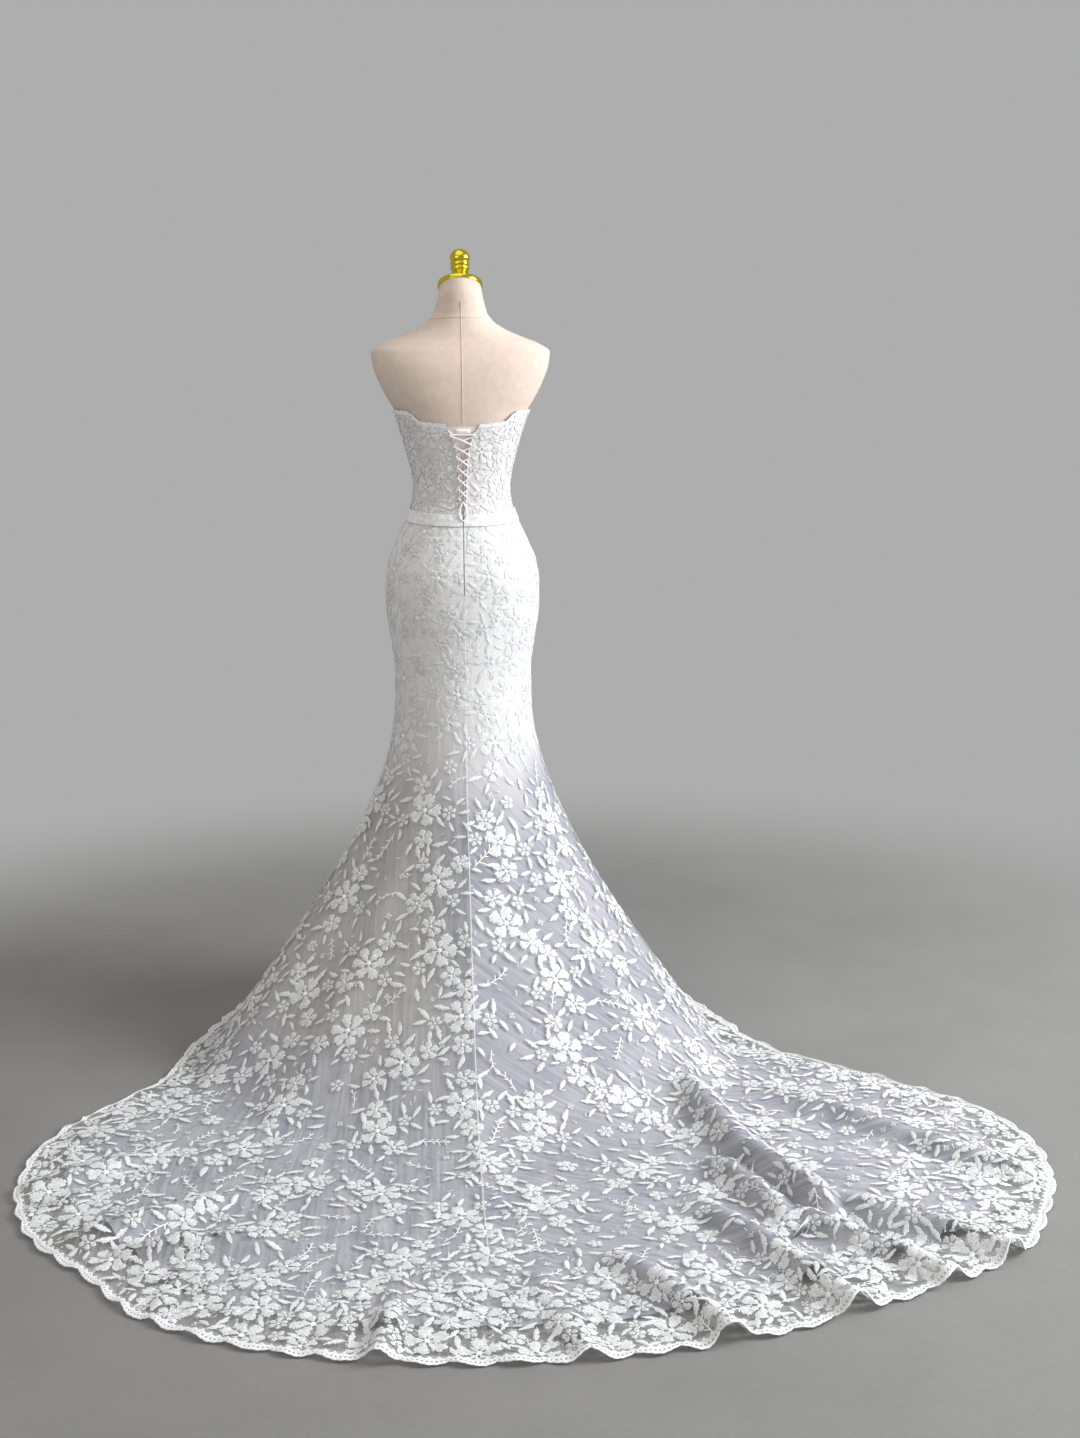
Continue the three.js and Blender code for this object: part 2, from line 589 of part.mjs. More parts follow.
function buildNeckCap() {
  const cap = { radius: 46.5, thickness: 12, bevel: 2 };
  const disc = new THREE.LatheGeometry(
    [
      new THREE.Vector2(0, 0),
      new THREE.Vector2(cap.radius - cap.bevel, 0),
      new THREE.Vector2(cap.radius, cap.bevel),
      new THREE.Vector2(cap.radius, cap.thickness - cap.bevel),
      new THREE.Vector2(cap.radius - 2 * cap.bevel, cap.thickness),
      new THREE.Vector2(0, cap.thickness),
    ],
    24,
  );
  disc.rotateX(Math.PI / 2).rotateX(rad(NECK.slant));
  disc.translate(0, 0, NECK.topZ + SEAM_GAP);
  add("neck_cap", disc, COLOURS.gold, 0.2, 1);

  // Height and radius of the finial's turned profile, over the middle of the cap
  const profile = [
    { h: 0, r: 16 }, { h: 20, r: 18.2 }, { h: 27, r: 19.8 }, { h: 31, r: 18.4 }, { h: 36, r: 20 },
    { h: 40, r: 18.6 }, { h: 47, r: 21 }, { h: 53, r: 19.3 }, { h: 58, r: 15.8 }, { h: 62, r: 10.6 },
  ];
  const tip = 65;
  const points = [new THREE.Vector2(0, 0)];
  for (const p of profile) points.push(new THREE.Vector2(p.r, p.h));
  points.push(new THREE.Vector2(0, tip));
  const finial = new THREE.LatheGeometry(points, 14).rotateX(Math.PI / 2);
  const foot = finial.getAttribute("position");
  const tilt = Math.tan(rad(NECK.slant));
  const footBand = 12;
  const capTop = NECK.topZ + SEAM_GAP + cap.thickness / Math.cos(rad(NECK.slant)) + SEAM_GAP;
  for (let i = 0; i < foot.count; i += 1) {
    const lean = clamp(1 - foot.getZ(i) / footBand, 0, 1);
    foot.setZ(i, foot.getZ(i) + lean * foot.getY(i) * tilt);
  }
  finial.translate(0, 0, capTop);
  add("finial", finial, COLOURS.gold, 0.2, 1);
}

function buildStand() {
  const base = { radius: 165, thickness: 10, bevel: 3 };
  const pole = { radius: 14, collar: 30, collarHeight: 10, coneHeight: 24 };
  const disc = new THREE.LatheGeometry(
    [
      new THREE.Vector2(0, 0),
      new THREE.Vector2(base.radius, 0),
      new THREE.Vector2(base.radius, base.thickness - base.bevel),
      new THREE.Vector2(base.radius - base.bevel, base.thickness),
      new THREE.Vector2(0, base.thickness),
    ],
    32,
  ).rotateX(Math.PI / 2);
  add("base_plate", disc, COLOURS.steel, 0.4, 0.6);
  const low = base.thickness + SEAM_GAP;
  const high = FORM_BOTTOM_Z - SEAM_GAP;
  const rod = new THREE.LatheGeometry(
    [
      new THREE.Vector2(0, low),
      new THREE.Vector2(pole.collar, low),
      new THREE.Vector2(pole.collar, low + pole.collarHeight),
      new THREE.Vector2(pole.radius, low + pole.coneHeight),
      new THREE.Vector2(pole.radius, high),
      new THREE.Vector2(0, high),
    ],
    12,
  ).rotateX(Math.PI / 2);
  add("form_pole", rod, COLOURS.steel, 0.35, 0.8);
}

// Skirt, its lining and its hem border

// Past this turn from the centre back the lining has every column of the lace
const LINING_FINE_FROM = 44;

// Parts a panel along a row into what hangs and what lies on the floor, a seam gap apart
function partAtFoot(panel) {
  const foot = panel.outer[0].length - TRAIN_ROWS;
  const drawnBack = (from, to) =>
    from.clone().addScaledVector(to.clone().sub(from).normalize(), SKIRT_SEAM_GAP / 2);
  const hanging = {};
  const lying = {};
  for (const face of ["outer", "inner"]) {
    hanging[face] = panel[face].map((column) => [
      ...column.slice(0, foot), drawnBack(column[foot], column[foot - 1]),
    ]);
    lying[face] = panel[face].map((column) => [
      drawnBack(column[foot], column[foot + 1]), ...column.slice(foot + 1),
    ]);
  }
  return { hanging, lying };
}

function buildSkirt() {
  const laceTop = (turn) => waistZ(turn) - SEAM_GAP / 2;
  const panels = [
    { name: "front", columns: steps(90, 270, 16), rows: frontRows },
    { name: "back_left", train: "train_left", columns: skirtColumns(0, 90, 24), rows: backRows },
    { name: "back_right", train: "train_right", columns: skirtColumns(-90, 0, 25), rows: backRows },
  ];
  for (const panel of panels) {
    const { columns } = panel;
    const lace = skirtPanel(columns, panel.rows, LACE, laceTop);
    const { hanging, lying } = panel.train ? partAtFoot(lace) : { hanging: lace };
    add(`skirt_${panel.name}`, wall(hanging.outer, hanging.inner), COLOURS.lace);
    if (lying) add(panel.train, wall(lying.outer, lying.inner), COLOURS.lace);
    const liningRows = panel.rows === frontRows ? panel.rows.slice(0, -1) : panel.rows;
    const last = columns.length - 1;
    const liningColumns = columns.filter(
      (turn, i) => i % 2 === 0 || i === last || Math.abs(turn) > LINING_FINE_FROM,
    );
    const lining = skirtPanel(liningColumns, liningRows, LINING, laceTop);
    add(`lining_${panel.name}`, wall(lining.outer, lining.inner), COLOURS.lining, 0.5);
    const lastRow = panel.rows.length - 1;
    const corners = columns.map((_, i) => {
      const outer = lace.outer[i][lastRow];
      const inner = lace.inner[i][lastRow];
      const way = outer.clone().sub(lace.outer[i][lastRow - 1]);
      way.z = 0;
      return { outer, inner, way: way.normalize() };
    });
    const border = scallopedStrip(corners, HEM_BORDER);
    add(`hem_border_${panel.name}`, wall(border.outer, border.inner), COLOURS.lace);
  }
}

// Bodice

const BODICE_ROWS = 6;
const LINING_TUCK = 3;

const topZ = (turn) => along(NECKLINE, "turn", "z", Math.abs(wrap(turn)));

// Columns and rows of a bodice panel. The back panels start at the edge of the laced opening.
function bodicePanel(panel, off, thickness, inset) {
  const outer = [];
  const inner = [];
  for (let i = 0; i <= panel.count; i += 1) {
    const outerColumn = [];
    const innerColumn = [];
    for (let j = 0; j <= BODICE_ROWS; j += 1) {
      const place = (turn) => lerp(topZ(turn), waistZ(turn) + SEAM_GAP / 2, j / BODICE_ROWS);
      let start = panel.from;
      if (panel.opening) {
        const edge = place(0);
        start = turnAt(panel.opening * (along(OPENING, "z", "half", edge) + inset), edge);
      }
      const turn = lerp(start, panel.to, i / panel.count);
      const z = place(turn);
      const sideways = i === 0 ? 1 : i === panel.count ? -1 : 0;
      const heading = Math.sign(panel.to - start) * sideways * (SEAM_GAP / 2);
      const across = offSkin(turn + TURN_STEP, z, off).sub(offSkin(turn, z, off)).normalize();
      for (const [column, out] of [[outerColumn, off + thickness], [innerColumn, off]]) {
        column.push(offSkin(turn, z, out).addScaledVector(across, heading));
      }
    }
    outer.push(outerColumn);
    inner.push(innerColumn);
  }
  if (panel.to < panel.from || panel.opening < 0) {
    outer.reverse();
    inner.reverse();
  }
  return { outer, inner };
}

const BODICE_PANELS = [
  { name: "bodice_front", from: 90, to: 270, count: 16 },
  { name: "bodice_back_left", from: 0, to: 90, count: 7, opening: 1 },
  { name: "bodice_back_right", from: 0, to: -90, count: 7, opening: -1 },
];

function buildBodice() {
  for (const panel of BODICE_PANELS) {
    const lace = bodicePanel(panel, LACE_OFF, LACE_WALL, 0);
    add(panel.name, wall(lace.outer, lace.inner), COLOURS.lace);
    const corners = lace.outer.map((column, i) => ({
      outer: column[0],
      inner: lace.inner[i][0],
      way: column[0].clone().sub(column[1]).normalize(),
    }));
    corners.reverse();
    const edging = scallopedStrip(corners, NECK_EDGE);
    const name = panel.name.replace("bodice", "neck_edging");
    add(name, wall(edging.outer, edging.inner), COLOURS.lace);
  }
  for (const panel of BODICE_PANELS) {
    const lining = bodicePanel(panel, LINING_OFF, LINING_WALL, LINING_TUCK);
    const name = panel.name.replace("bodice", "bodice_lining");
    add(name, wall(lining.outer, lining.inner), COLOURS.nude, 0.6);
  }
}

function buildWaistband() {
  const gap = THREE.MathUtils.radToDeg(SEAM_GAP / FIGURE.find((row) => row.z > WAIST_Z).back);
  const outer = [];
  const inner = [];
  for (const turn of steps(gap, 360 - gap, 36)) {
    const levels = [waistZ(turn) + WAISTBAND_HALF, waistZ(turn) - WAISTBAND_HALF];
    outer.push(levels.map((z) => offSkin(turn, z, BAND_OFF + BAND_WALL)));
    inner.push(levels.map((z) => offSkin(turn, z, BAND_OFF)));
  }
  add("waistband", wall(outer, inner), COLOURS.satin, 0.5);
}

// Closure: panel behind the lacing, loops, cord and zip

function buildModestyPanel() {
  const levels = steps(MODESTY.topZ, MODESTY.bottomZ, 9);
  const outer = [];
  const inner = [];
  for (const share of steps(-1, 1, 4)) {
    const place = (z) => turnAt(share * (along(OPENING, "z", "half", z) + MODESTY.beyond), z);
    outer.push(levels.map((z) => offSkin(place(z), z, MODESTY_OFF + LINING_WALL)));
    inner.push(levels.map((z) => offSkin(place(z), z, MODESTY_OFF)));
  }
  add("modesty_panel", wall(outer, inner), COLOURS.nude, 0.5);
}

function buildLoopTapes() {
  for (const side of [1, -1]) {
    const outer = [];
    const inner = [];
    for (const share of steps(0, 1, LOOPS.count * 3)) {
      const z = lerp(LOOPS.bottomZ, LOOPS.topZ, share);
      const half = along(OPENING, "z", "half", z) - LOOPS.inset;
      const wave = Math.abs(Math.sin(Math.PI * share * LOOPS.count));
      const reach = Math.min(LOOPS.tape + LOOPS.reach * wave, half - LOOPS.clear);
      const xs = side > 0 ? [half - reach, half] : [-half, reach - half];
      outer.push(xs.map((x) => offSkin(turnAt(x, z), z, LACE_OFF + LACE_WALL)));
      inner.push(xs.map((x) => offSkin(turnAt(x, z), z, LACE_OFF)));
    }
    add(`loop_tape_${side > 0 ? "left" : "right"}`, wall(outer, inner), COLOURS.satin, 0.4);
  }
}

// A round cord along points that are already smooth
function cordAlong(points, radius, sides, segments, closed = false) {
  const curve = new THREE.CatmullRomCurve3(points, closed, "catmullrom", 0.5);
  const frames = curve.computeFrenetFrames(segments, closed);
  const rings = [];
  for (let i = 0; i < (closed ? segments : segments + 1); i += 1) {
    const centre = curve.getPointAt(i / segments);
    rings.push(
      steps(2 * Math.PI, 0, sides).slice(0, -1).map((angle) =>
        centre.clone()
          .addScaledVector(frames.normals[i], radius * Math.cos(angle))
          .addScaledVector(frames.binormals[i], radius * Math.sin(angle)),
      ),
    );
  }
  return rings;
}

function buildLacing() {
  const levels = steps(LACING.bottomZ, LACING.topZ, LACING.crossings);
  const corner = (z, side) => {
    const x = side * (along(OPENING, "z", "half", z) + LACING.reach);
    return offSkin(turnAt(x, z), z, LACING.corner);
  };
  const middle = (a, b, out) => offSkin(0, (a + b) / 2, out);
  const strand = (startSide, out) => {
    const points = [];
    levels.forEach((z, k) => {
      const side = k % 2 === 0 ? startSide : -startSide;
      points.push(corner(z, side));
      if (k < levels.length - 1) points.push(middle(z, levels[k + 1], out(k)));
    });
    return points;
  };
  const weave = (first) => (k) => ((k + first) % 2 === 0 ? LACING.lower : LACING.higher);
  const up = strand(1, weave(0));
  const down = strand(-1, weave(1)).reverse();
  const knot = LACING.bottomZ - LACING.tailDrop;
  const tail = (side) => offSkin(turnAt(side * LACING.tailHalf, knot), knot, LACING.corner);
  const points = [tail(1), ...up, ...down, tail(-1)];
  const rings = cordAlong(points, LACING.radius, 5, 44);
  add("lacing_cord", stack(rings), COLOURS.satin, 0.4);
}

function buildDropLoop() {
  const { topZ: high, bottomZ: low, half, radius, off, narrow } = DROP_LOOP;
  const sides = 6;
  const centre = (high + low) / 2;
  const points = steps(0, 2 * Math.PI, 10).slice(0, -1).map((angle) => {
    const rise = Math.cos(angle);
    const wide = half * Math.sin(angle) * (rise > 0 ? 1 - narrow * rise : 1);
    const z = centre + ((high - low) / 2) * rise;
    return offSkin(turnAt(wide, z), z, off);
  });
  const rings = cordAlong(points, radius, sides, 14, true);
  const position = rings.flat().flatMap((p) => [p.x, p.y, p.z]);
  const index = [];
  for (let i = 0; i < rings.length; i += 1) {
    for (let j = 0; j < sides; j += 1) {
      const a = i * sides + j;
      const b = i * sides + ((j + 1) % sides);
      const c = ((i + 1) % rings.length) * sides + j;
      const d = ((i + 1) % rings.length) * sides + ((j + 1) % sides);
      index.push(a, c, b, b, c, d);
    }
  }
  const geometry = new THREE.BufferGeometry();
  geometry.setAttribute("position", new THREE.Float32BufferAttribute(position, 3));
  geometry.setIndex(index);
  add("lacing_drop_loop", geometry, COLOURS.satin, 0.4);
}

function buildZip() {
  const outer = [];
  const inner = [];
  const between = BODY_LEVELS.filter((z) => z > ZIP.bottomZ && z < ZIP.topZ);
  const levels = [ZIP.topZ, ...between, ZIP.bottomZ];
  for (const x of [-ZIP.half, 0, ZIP.half]) {
    outer.push(levels.map((z) => offSkin(turnAt(x, z), z, MODESTY_OFF + ZIP.wall)));
    inner.push(levels.map((z) => offSkin(turnAt(x, z), z, MODESTY_OFF)));
  }
  add("zip", wall(outer, inner), COLOURS.satin, 0.5);
}

buildForm();
buildNeckCap();
buildStand();
buildSkirt();
buildBodice();
buildWaistband();
buildModestyPanel();
buildLoopTapes();
buildLacing();
buildDropLoop();
buildZip();

export default gown;
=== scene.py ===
"""Looks of a strapless lace mermaid gown with a train, on a limbless dress form."""

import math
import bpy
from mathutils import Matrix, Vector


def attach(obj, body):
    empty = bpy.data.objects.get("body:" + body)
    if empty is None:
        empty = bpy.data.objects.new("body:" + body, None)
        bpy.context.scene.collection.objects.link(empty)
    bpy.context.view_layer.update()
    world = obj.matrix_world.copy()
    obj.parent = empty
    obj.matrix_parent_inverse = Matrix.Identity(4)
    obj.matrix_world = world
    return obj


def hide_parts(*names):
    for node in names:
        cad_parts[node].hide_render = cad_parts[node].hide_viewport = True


bl_info = {
    "name": "Lace mermaid gown",
    "version": (1, 0, 0),
    "blender": (4, 5, 0),
    "location": "View3D > Sidebar > Gown",
    "description": "Builds the cloth, lace, lacing and dress form of a mermaid gown",
    "category": "Add Mesh",
}

import bpy
import numpy as np

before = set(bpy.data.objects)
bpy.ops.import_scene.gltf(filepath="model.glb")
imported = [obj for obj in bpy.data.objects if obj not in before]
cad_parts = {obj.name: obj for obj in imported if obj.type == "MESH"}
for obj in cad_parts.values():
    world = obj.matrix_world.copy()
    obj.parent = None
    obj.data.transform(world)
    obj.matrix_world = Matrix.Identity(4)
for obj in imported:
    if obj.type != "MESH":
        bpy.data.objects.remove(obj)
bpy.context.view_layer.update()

MM = 0.001


# Sizes, in millimetres and degrees like the solids


def columns(names, *rows):
    """A table as one array for each named column."""
    return dict(zip(names.split(), np.array(rows, float).T))


FIGURE = columns(
    "z half front back square",
    (668, 146, 96, 134, 2.0), (712, 141, 95, 122, 2.0), (780, 139.5, 98, 113, 2.05),
    (850, 147, 103, 115, 2.1), (915, 156.5, 108, 121, 2.15), (971, 157, 108, 122, 2.2),
    (1014, 150, 105, 115, 2.15), (1056, 133, 97, 102, 2.1), (1090, 117, 89, 90, 2.1),
    (1119, 105, 84, 82, 2.1), (1145, 98, 82, 78, 2.1), (1167, 96.5, 82, 78, 2.1),
    (1195, 99, 85, 80, 2.1), (1230, 107, 92, 84, 2.15), (1264, 116, 98, 89, 2.2),
    (1296, 126, 102, 94, 2.25), (1329, 138, 99, 98, 2.3), (1350, 151, 94, 99, 2.4),
    (1388, 170, 86, 97, 2.5), (1420, 181, 78, 91, 2.5), (1446, 184, 68, 80, 2.4),
    (1462, 162, 61, 71, 2.2), (1476, 126, 56, 64, 2.0), (1496, 83, 50, 57, 2.0),
    (1514, 62, 47, 52, 2.0), (1530, 53.5, 46, 49, 2.0),
)
CUP_TURN, CUP_Z, CUP_WIDTH, CUP_HEIGHT, CUP_RISE, FORM_CUP_RISE = 31, 1280, 21, 50, 11, 5
SPREAD = columns(
    "turn azimuth foot hem",
    (-180, -180, 398, 428), (-145, -146, 410, 438), (-112, -112, 455, 480),
    (-90, -87, 512, 540), (-78, -77, 538, 592), (-68, -68.5, 562, 668), (-60, -63, 582, 900),
    (-53, -58.5, 602, 1165), (-46, -52.5, 630, 1308), (-38, -43, 660, 1420),
    (-31, -35.5, 690, 1474), (-24, -27, 715, 1464), (-14, -16, 735, 1468), (0, 0, 745, 1460),
    (14, 15, 728, 1438), (22, 23.5, 708, 1394), (27, 29, 695, 1326), (35, 37, 675, 1268),
    (43, 46.5, 655, 1134), (50, 53, 648, 990), (57, 57.5, 645, 815), (65, 61.5, 640, 708),
    (75, 71, 575, 628), (90, 88, 508, 540), (112, 112, 455, 480), (145, 146, 410, 438),
    (180, 180, 398, 428),
)
NECKLINE = columns(
    "turn z",
    (0, 1297), (24, 1300), (38, 1304), (50, 1323), (70, 1325), (95, 1322), (125, 1336),
    (150, 1352), (166, 1338), (180, 1304),
)
OPENING = columns(
    "z half",
    (1114, 0.3), (1129, 4.5), (1145, 6), (1200, 7.5), (1240, 11), (1270, 18.5), (1304, 33),
)
# Where each fold starts and ends (azimuth, reach), its width, rise and how fast its ends fade
FOLDS = (
    (-42, 620, -31, 960, 62, 44, 0.3, 0.15), (-31.5, 900, -29.8, 1210, 55, 52, 0.2, 0.2),
    (-30.2, 1120, -35.5, 1470, 50, 40, 0.2, 0.02), (-27.6, 900, -26.2, 1200, 46, 34, 0.3, 0.25),
    (-26.4, 1120, -30.2, 1462, 44, 30, 0.25, 0.02), (-20.5, 1010, -22.6, 1472, 50, 36, 0.45, 0.02),
    (-9.5, 1130, -14.2, 1474, 48, 34, 0.5, 0.02), (-3, 1180, -5.5, 1462, 46, 14, 0.6, 0.02),
    (6.5, 1230, 6.9, 1455, 40, 20, 0.6, 0.02), (15, 1120, 29, 1245, 42, 34, 0.45, 0.3),
    (24, 960, 33, 1255, 48, 30, 0.5, 0.1), (40, 900, 43, 1170, 52, 18, 0.5, 0.1),
    (-50, 760, -47, 1330, 60, 26, 0.35, 0.05),
)
# Azimuth, half width and rise of the soft folds down the flare
DRAGS = (
    (-72, 5.5, 11), (-56, 5, 16), (-38, 5, 12), (33, 5.5, 11), (54, 5.5, 14), (78, 6.5, 10),
    (112, 8, 15), (144, 8, 13), (180, 8, 13), (-146, 8, 14), (-112, 8, 15), (-97, 6, 9),
)
WAIST_Z, WAIST_DIP, KNEE_Z, FORM_BOTTOM_Z = 1114, 8, 712, 850
LACE_OFF, LINING_OFF, BAND_OFF, MODESTY_OFF = 4.2, 2.6, 6.8, 0.5
LACE_WALL, LINING_WALL = 1.2, 1.0
HEM_WIDTH, HEM_DEPTH, HEM_PITCH = 17, 9, 72
ZIP_TOP_Z, ZIP_BOTTOM_Z = 1098, 952
LACING_BOTTOM_Z, LACING_TOP_Z, LACING_CROSSINGS = 1150, 1280, 6
LACING_REACH, LACING_CORNER, LACING_LOWER, LACING_HIGHER = 2.2, 8.5, 7.4, 11.8
LOOPS_BOTTOM_Z, LOOPS_TOP_Z, LOOP_COUNT = 1139, 1290, 7
PANEL_TOP_Z, PANEL_BOTTOM_Z, BAR_Z, BAR_HALF = 1298, 1122, 1288, 15.5
BAR_ROLL, BAR_RISE = 2.5, 4.6

# Radii of the loops' cord and of the tied loop, and the tied loop's length round, in metres
LOOP_RADIUS, TIED_RADIUS, TIED_LENGTH = 0.0013, 0.0017, 0.085

# Section of a seam's fell: how far to the side and how high, in metres
SEAM_FELL = ((-0.0014, 0.0), (-0.0009, 0.0004), (0, 0.0005), (0.0009, 0.0004), (0.0014, 0.0))
NECK_WIDTH, NECK_DEPTH, NECK_PITCH = 6, 5, 27
NECK_Z, NECK_HALF, NECK_LOW_SLANT, NECK_TOP_HALF, NECK_TOP_Z, NECK_SLANT = 1552, 47, 11, 43.5, 1574, 25
FOOT_ROUND_FROM, FOOT_ROUND_TO = 0.88, 1.08


# Small maths


def along(table, key, name, x):
    """One column of a table at x, on a smooth line through its rows that never overshoots."""
    at, value = table[key], table[name]
    gap = np.diff(at)
    rise = np.diff(value) / gap
    slope = np.zeros(len(at))
    turns = rise[:-1] * rise[1:] > 0
    both = rise[:-1] + rise[1:]
    slope[1:-1] = np.where(turns, 2 * rise[:-1] * rise[1:] / np.where(turns, both, 1), 0)
    x = np.clip(x, at[0], at[-1])
    i = np.clip(np.searchsorted(at, x, side="right") - 1, 0, len(at) - 2)
    t = (x - at[i]) / gap[i]
    return (
        value[i] * (1 + 2 * t) * (1 - t) ** 2 + slope[i] * gap[i] * t * (1 - t) ** 2
        + value[i + 1] * t * t * (3 - 2 * t) + slope[i + 1] * gap[i] * t * t * (t - 1)
    )


def wrap(turn):
    return (turn + 180) % 360 - 180


def bell(x, width):
    return np.exp(-((x / width) ** 2))


def smooth(x, low, high):
    t = np.clip((x - low) / (high - low), 0, 1)
    return t * t * (3 - 2 * t)


def lerp(a, b, t):
    return a + (b - a) * t


def unit(v):
    return v / np.maximum(np.linalg.norm(v, axis=-1, keepdims=True), 1e-9)


# The figure and the skirt


def skin(turn, z, cup_rise=CUP_RISE):
    """Points of the figure at turns from the centre back and heights."""
    t = wrap(np.asarray(turn, float))
    depth = np.where(
        np.abs(t) > 90, along(FIGURE, "z", "front", z), along(FIGURE, "z", "back", z)
    )
    power = 2 / along(FIGURE, "z", "square", z)
    s, c = np.sin(np.radians(t)), np.cos(np.radians(t))
    x = along(FIGURE, "z", "half", z) * np.sign(s) * np.abs(s) ** power
    y = depth * np.sign(c) * np.abs(c) ** power
    cup = cup_rise * bell(180 - np.abs(t) - CUP_TURN, CUP_WIDTH) * bell(z - CUP_Z, CUP_HEIGHT)
    return np.stack([x, y - cup, z + 0 * x], axis=-1)


def turn_at(x, z):
    """The turn at which the back of the figure is x from the middle."""
    share = np.abs(x) / along(FIGURE, "z", "half", z)
    return np.degrees(np.arcsin(share ** (along(FIGURE, "z", "square", z) / 2))) * np.sign(x)


def off_skin(turn, z, out):
    """Points off the figure along its level normals."""
    across = skin(turn + 0.4, z) - skin(turn - 0.4, z)
    normal = unit(np.stack([-across[..., 1], across[..., 0], 0 * across[..., 0]], axis=-1))
    return skin(turn, z) + normal * np.asarray(out, float)[..., None]


def waist_z(turn):
    return WAIST_Z - WAIST_DIP * np.cos(np.radians(turn))


def fold_rise(azimuth, reach):
    """Height of the folds of the train."""
    x, y = reach * np.sin(np.radians(azimuth)), reach * np.cos(np.radians(azimuth))
    rise = np.zeros_like(x)
    for az0, r0, az1, r1, width, height, start, end in FOLDS:
        ax, ay = r0 * math.sin(math.radians(az0)), r0 * math.cos(math.radians(az0))
        bx, by = r1 * math.sin(math.radians(az1)), r1 * math.cos(math.radians(az1))
        length = math.hypot(bx - ax, by - ay)
        s = ((x - ax) * (bx - ax) + (y - ay) * (by - ay)) / length**2
        off = ((x - ax) * (by - ay) - (y - ay) * (bx - ax)) / length
        ends = smooth(s, -0.12, start) * (1 - smooth(s, 1 - end, 1.12))
        rise = np.maximum(rise, height * ends * bell(off, width / 2))
    return rise


def flare(turn, v):
    """Azimuth, reach and height of the skirt below the knee: v is 1 at the floor, 2 at the hem."""
    knee = skin(turn, KNEE_Z)
    knee_reach = np.hypot(knee[..., 0], knee[..., 1])
    t = wrap(turn + 0.0)
    t = np.where((turn > 0) & (t == -180), 180, t)
    knee_azimuth = np.degrees(np.arctan2(knee[..., 0], knee[..., 1]))
    knee_azimuth = np.where((t == 180) & (knee_azimuth < 0), 180, knee_azimuth)
    knee_azimuth = np.where((t == -180) & (knee_azimuth > 0), -180, knee_azimuth)
    foot, hem = along(SPREAD, "turn", "foot", t), along(SPREAD, "turn", "hem", t)
    azimuth = lerp(knee_azimuth, along(SPREAD, "turn", "azimuth", t), smooth(v, 0, 1))
    side = smooth(np.abs(azimuth), 20, 70)

    def shape(v):
        u = np.minimum(v, 1)
        w = [(1 - u) ** 3, 3 * u * (1 - u) ** 2, 3 * u * u * (1 - u), u**3]
        lean = knee_reach + (foot - knee_reach) * lerp(0.05, 0.02, side)
        reach = w[0] * knee_reach + w[1] * lean + w[2] * foot * lerp(0.69, 0.765, side) + w[3] * foot
        drop, rise = KNEE_Z * (1 - lerp(0.3, 0.33, side)), KNEE_Z * lerp(0.115, 0.19, side)
        z = w[0] * KNEE_Z + w[1] * drop + w[2] * rise
        return reach + np.maximum(v - 1, 0) * (hem - foot), z

    reach, z = shape(v)
    a, b = FOOT_ROUND_FROM, FOOT_ROUND_TO
    u = np.clip((v - a) / (b - a), 0, 1)
    start, end = shape(a + 0 * v), shape(b + 0 * v)
    bend = (1 - u) ** 2, 2 * u * (1 - u), u * u
    turned = (v > a) & (v < b)
    reach = np.where(turned, bend[0] * start[0] + bend[1] * foot + bend[2] * end[0], reach)
    z = np.where(turned, bend[0] * start[1], z)
    return azimuth, reach, z


def skirt_points(turn, s, folded=True):
    """Points of the skirt: s runs -1 at the waist, 0 at the knee, 1 at the floor, 2 at the hem."""
    body = skin(turn, lerp(KNEE_Z, waist_z(turn), np.clip(-s, 0, 1.2)))
    v = np.maximum(s, 0)
    azimuth, reach, z = flare(turn, v)
    out = np.zeros_like(reach)
    lift = np.zeros_like(reach)
    if folded:
        on_flare = smooth(v, 0.1, 0.75) * (1 - smooth(v, 0.95, 1.25))
        for middle, width, rise in DRAGS:
            out += rise * on_flare * bell(wrap(azimuth - middle), width)
        ridge = smooth(v, 0.05, 0.5) * (1 - smooth(v, 1, 1.5))
        out += 22 * ridge * np.exp(-np.abs(azimuth) * np.radians(1) * reach / 95)
        lift = fold_rise(azimuth, reach)
    steep = np.clip(z / 150, 0, 1)
    r = reach + out * steep
    a = np.radians(azimuth)
    height = z + out * (1 - steep) * 0.8 + lift * (1 - 0.6 * steep)
    low = np.stack([r * np.sin(a), r * np.cos(a), height], axis=-1)
    return np.where((s < 0)[..., None], body, low)


def ripples(points, s):
    """Small soft creases of the lower flare and of the cloth that lies on the floor."""
    x, y = points[..., 0], points[..., 1]
    rng = np.random.default_rng(11)
    total = np.zeros_like(x)
    for _ in range(9):
        heading = rng.uniform(-0.9, 0.9)
        pitch = rng.uniform(38, 120)
        drift = np.sin(x / rng.uniform(150, 400) + y / rng.uniform(150, 400))
        across = x * math.cos(heading) - y * math.sin(heading)
        wave = np.sin(2 * math.pi * across / pitch + rng.uniform(0, 6.3) + 1.6 * drift)
        total += (0.5 + 0.5 * wave) ** 3 * pitch / 60
    return total * lerp(0.15, 0.8, smooth(s, 0.75, 1.15)) * smooth(s, 0.1, 0.6)


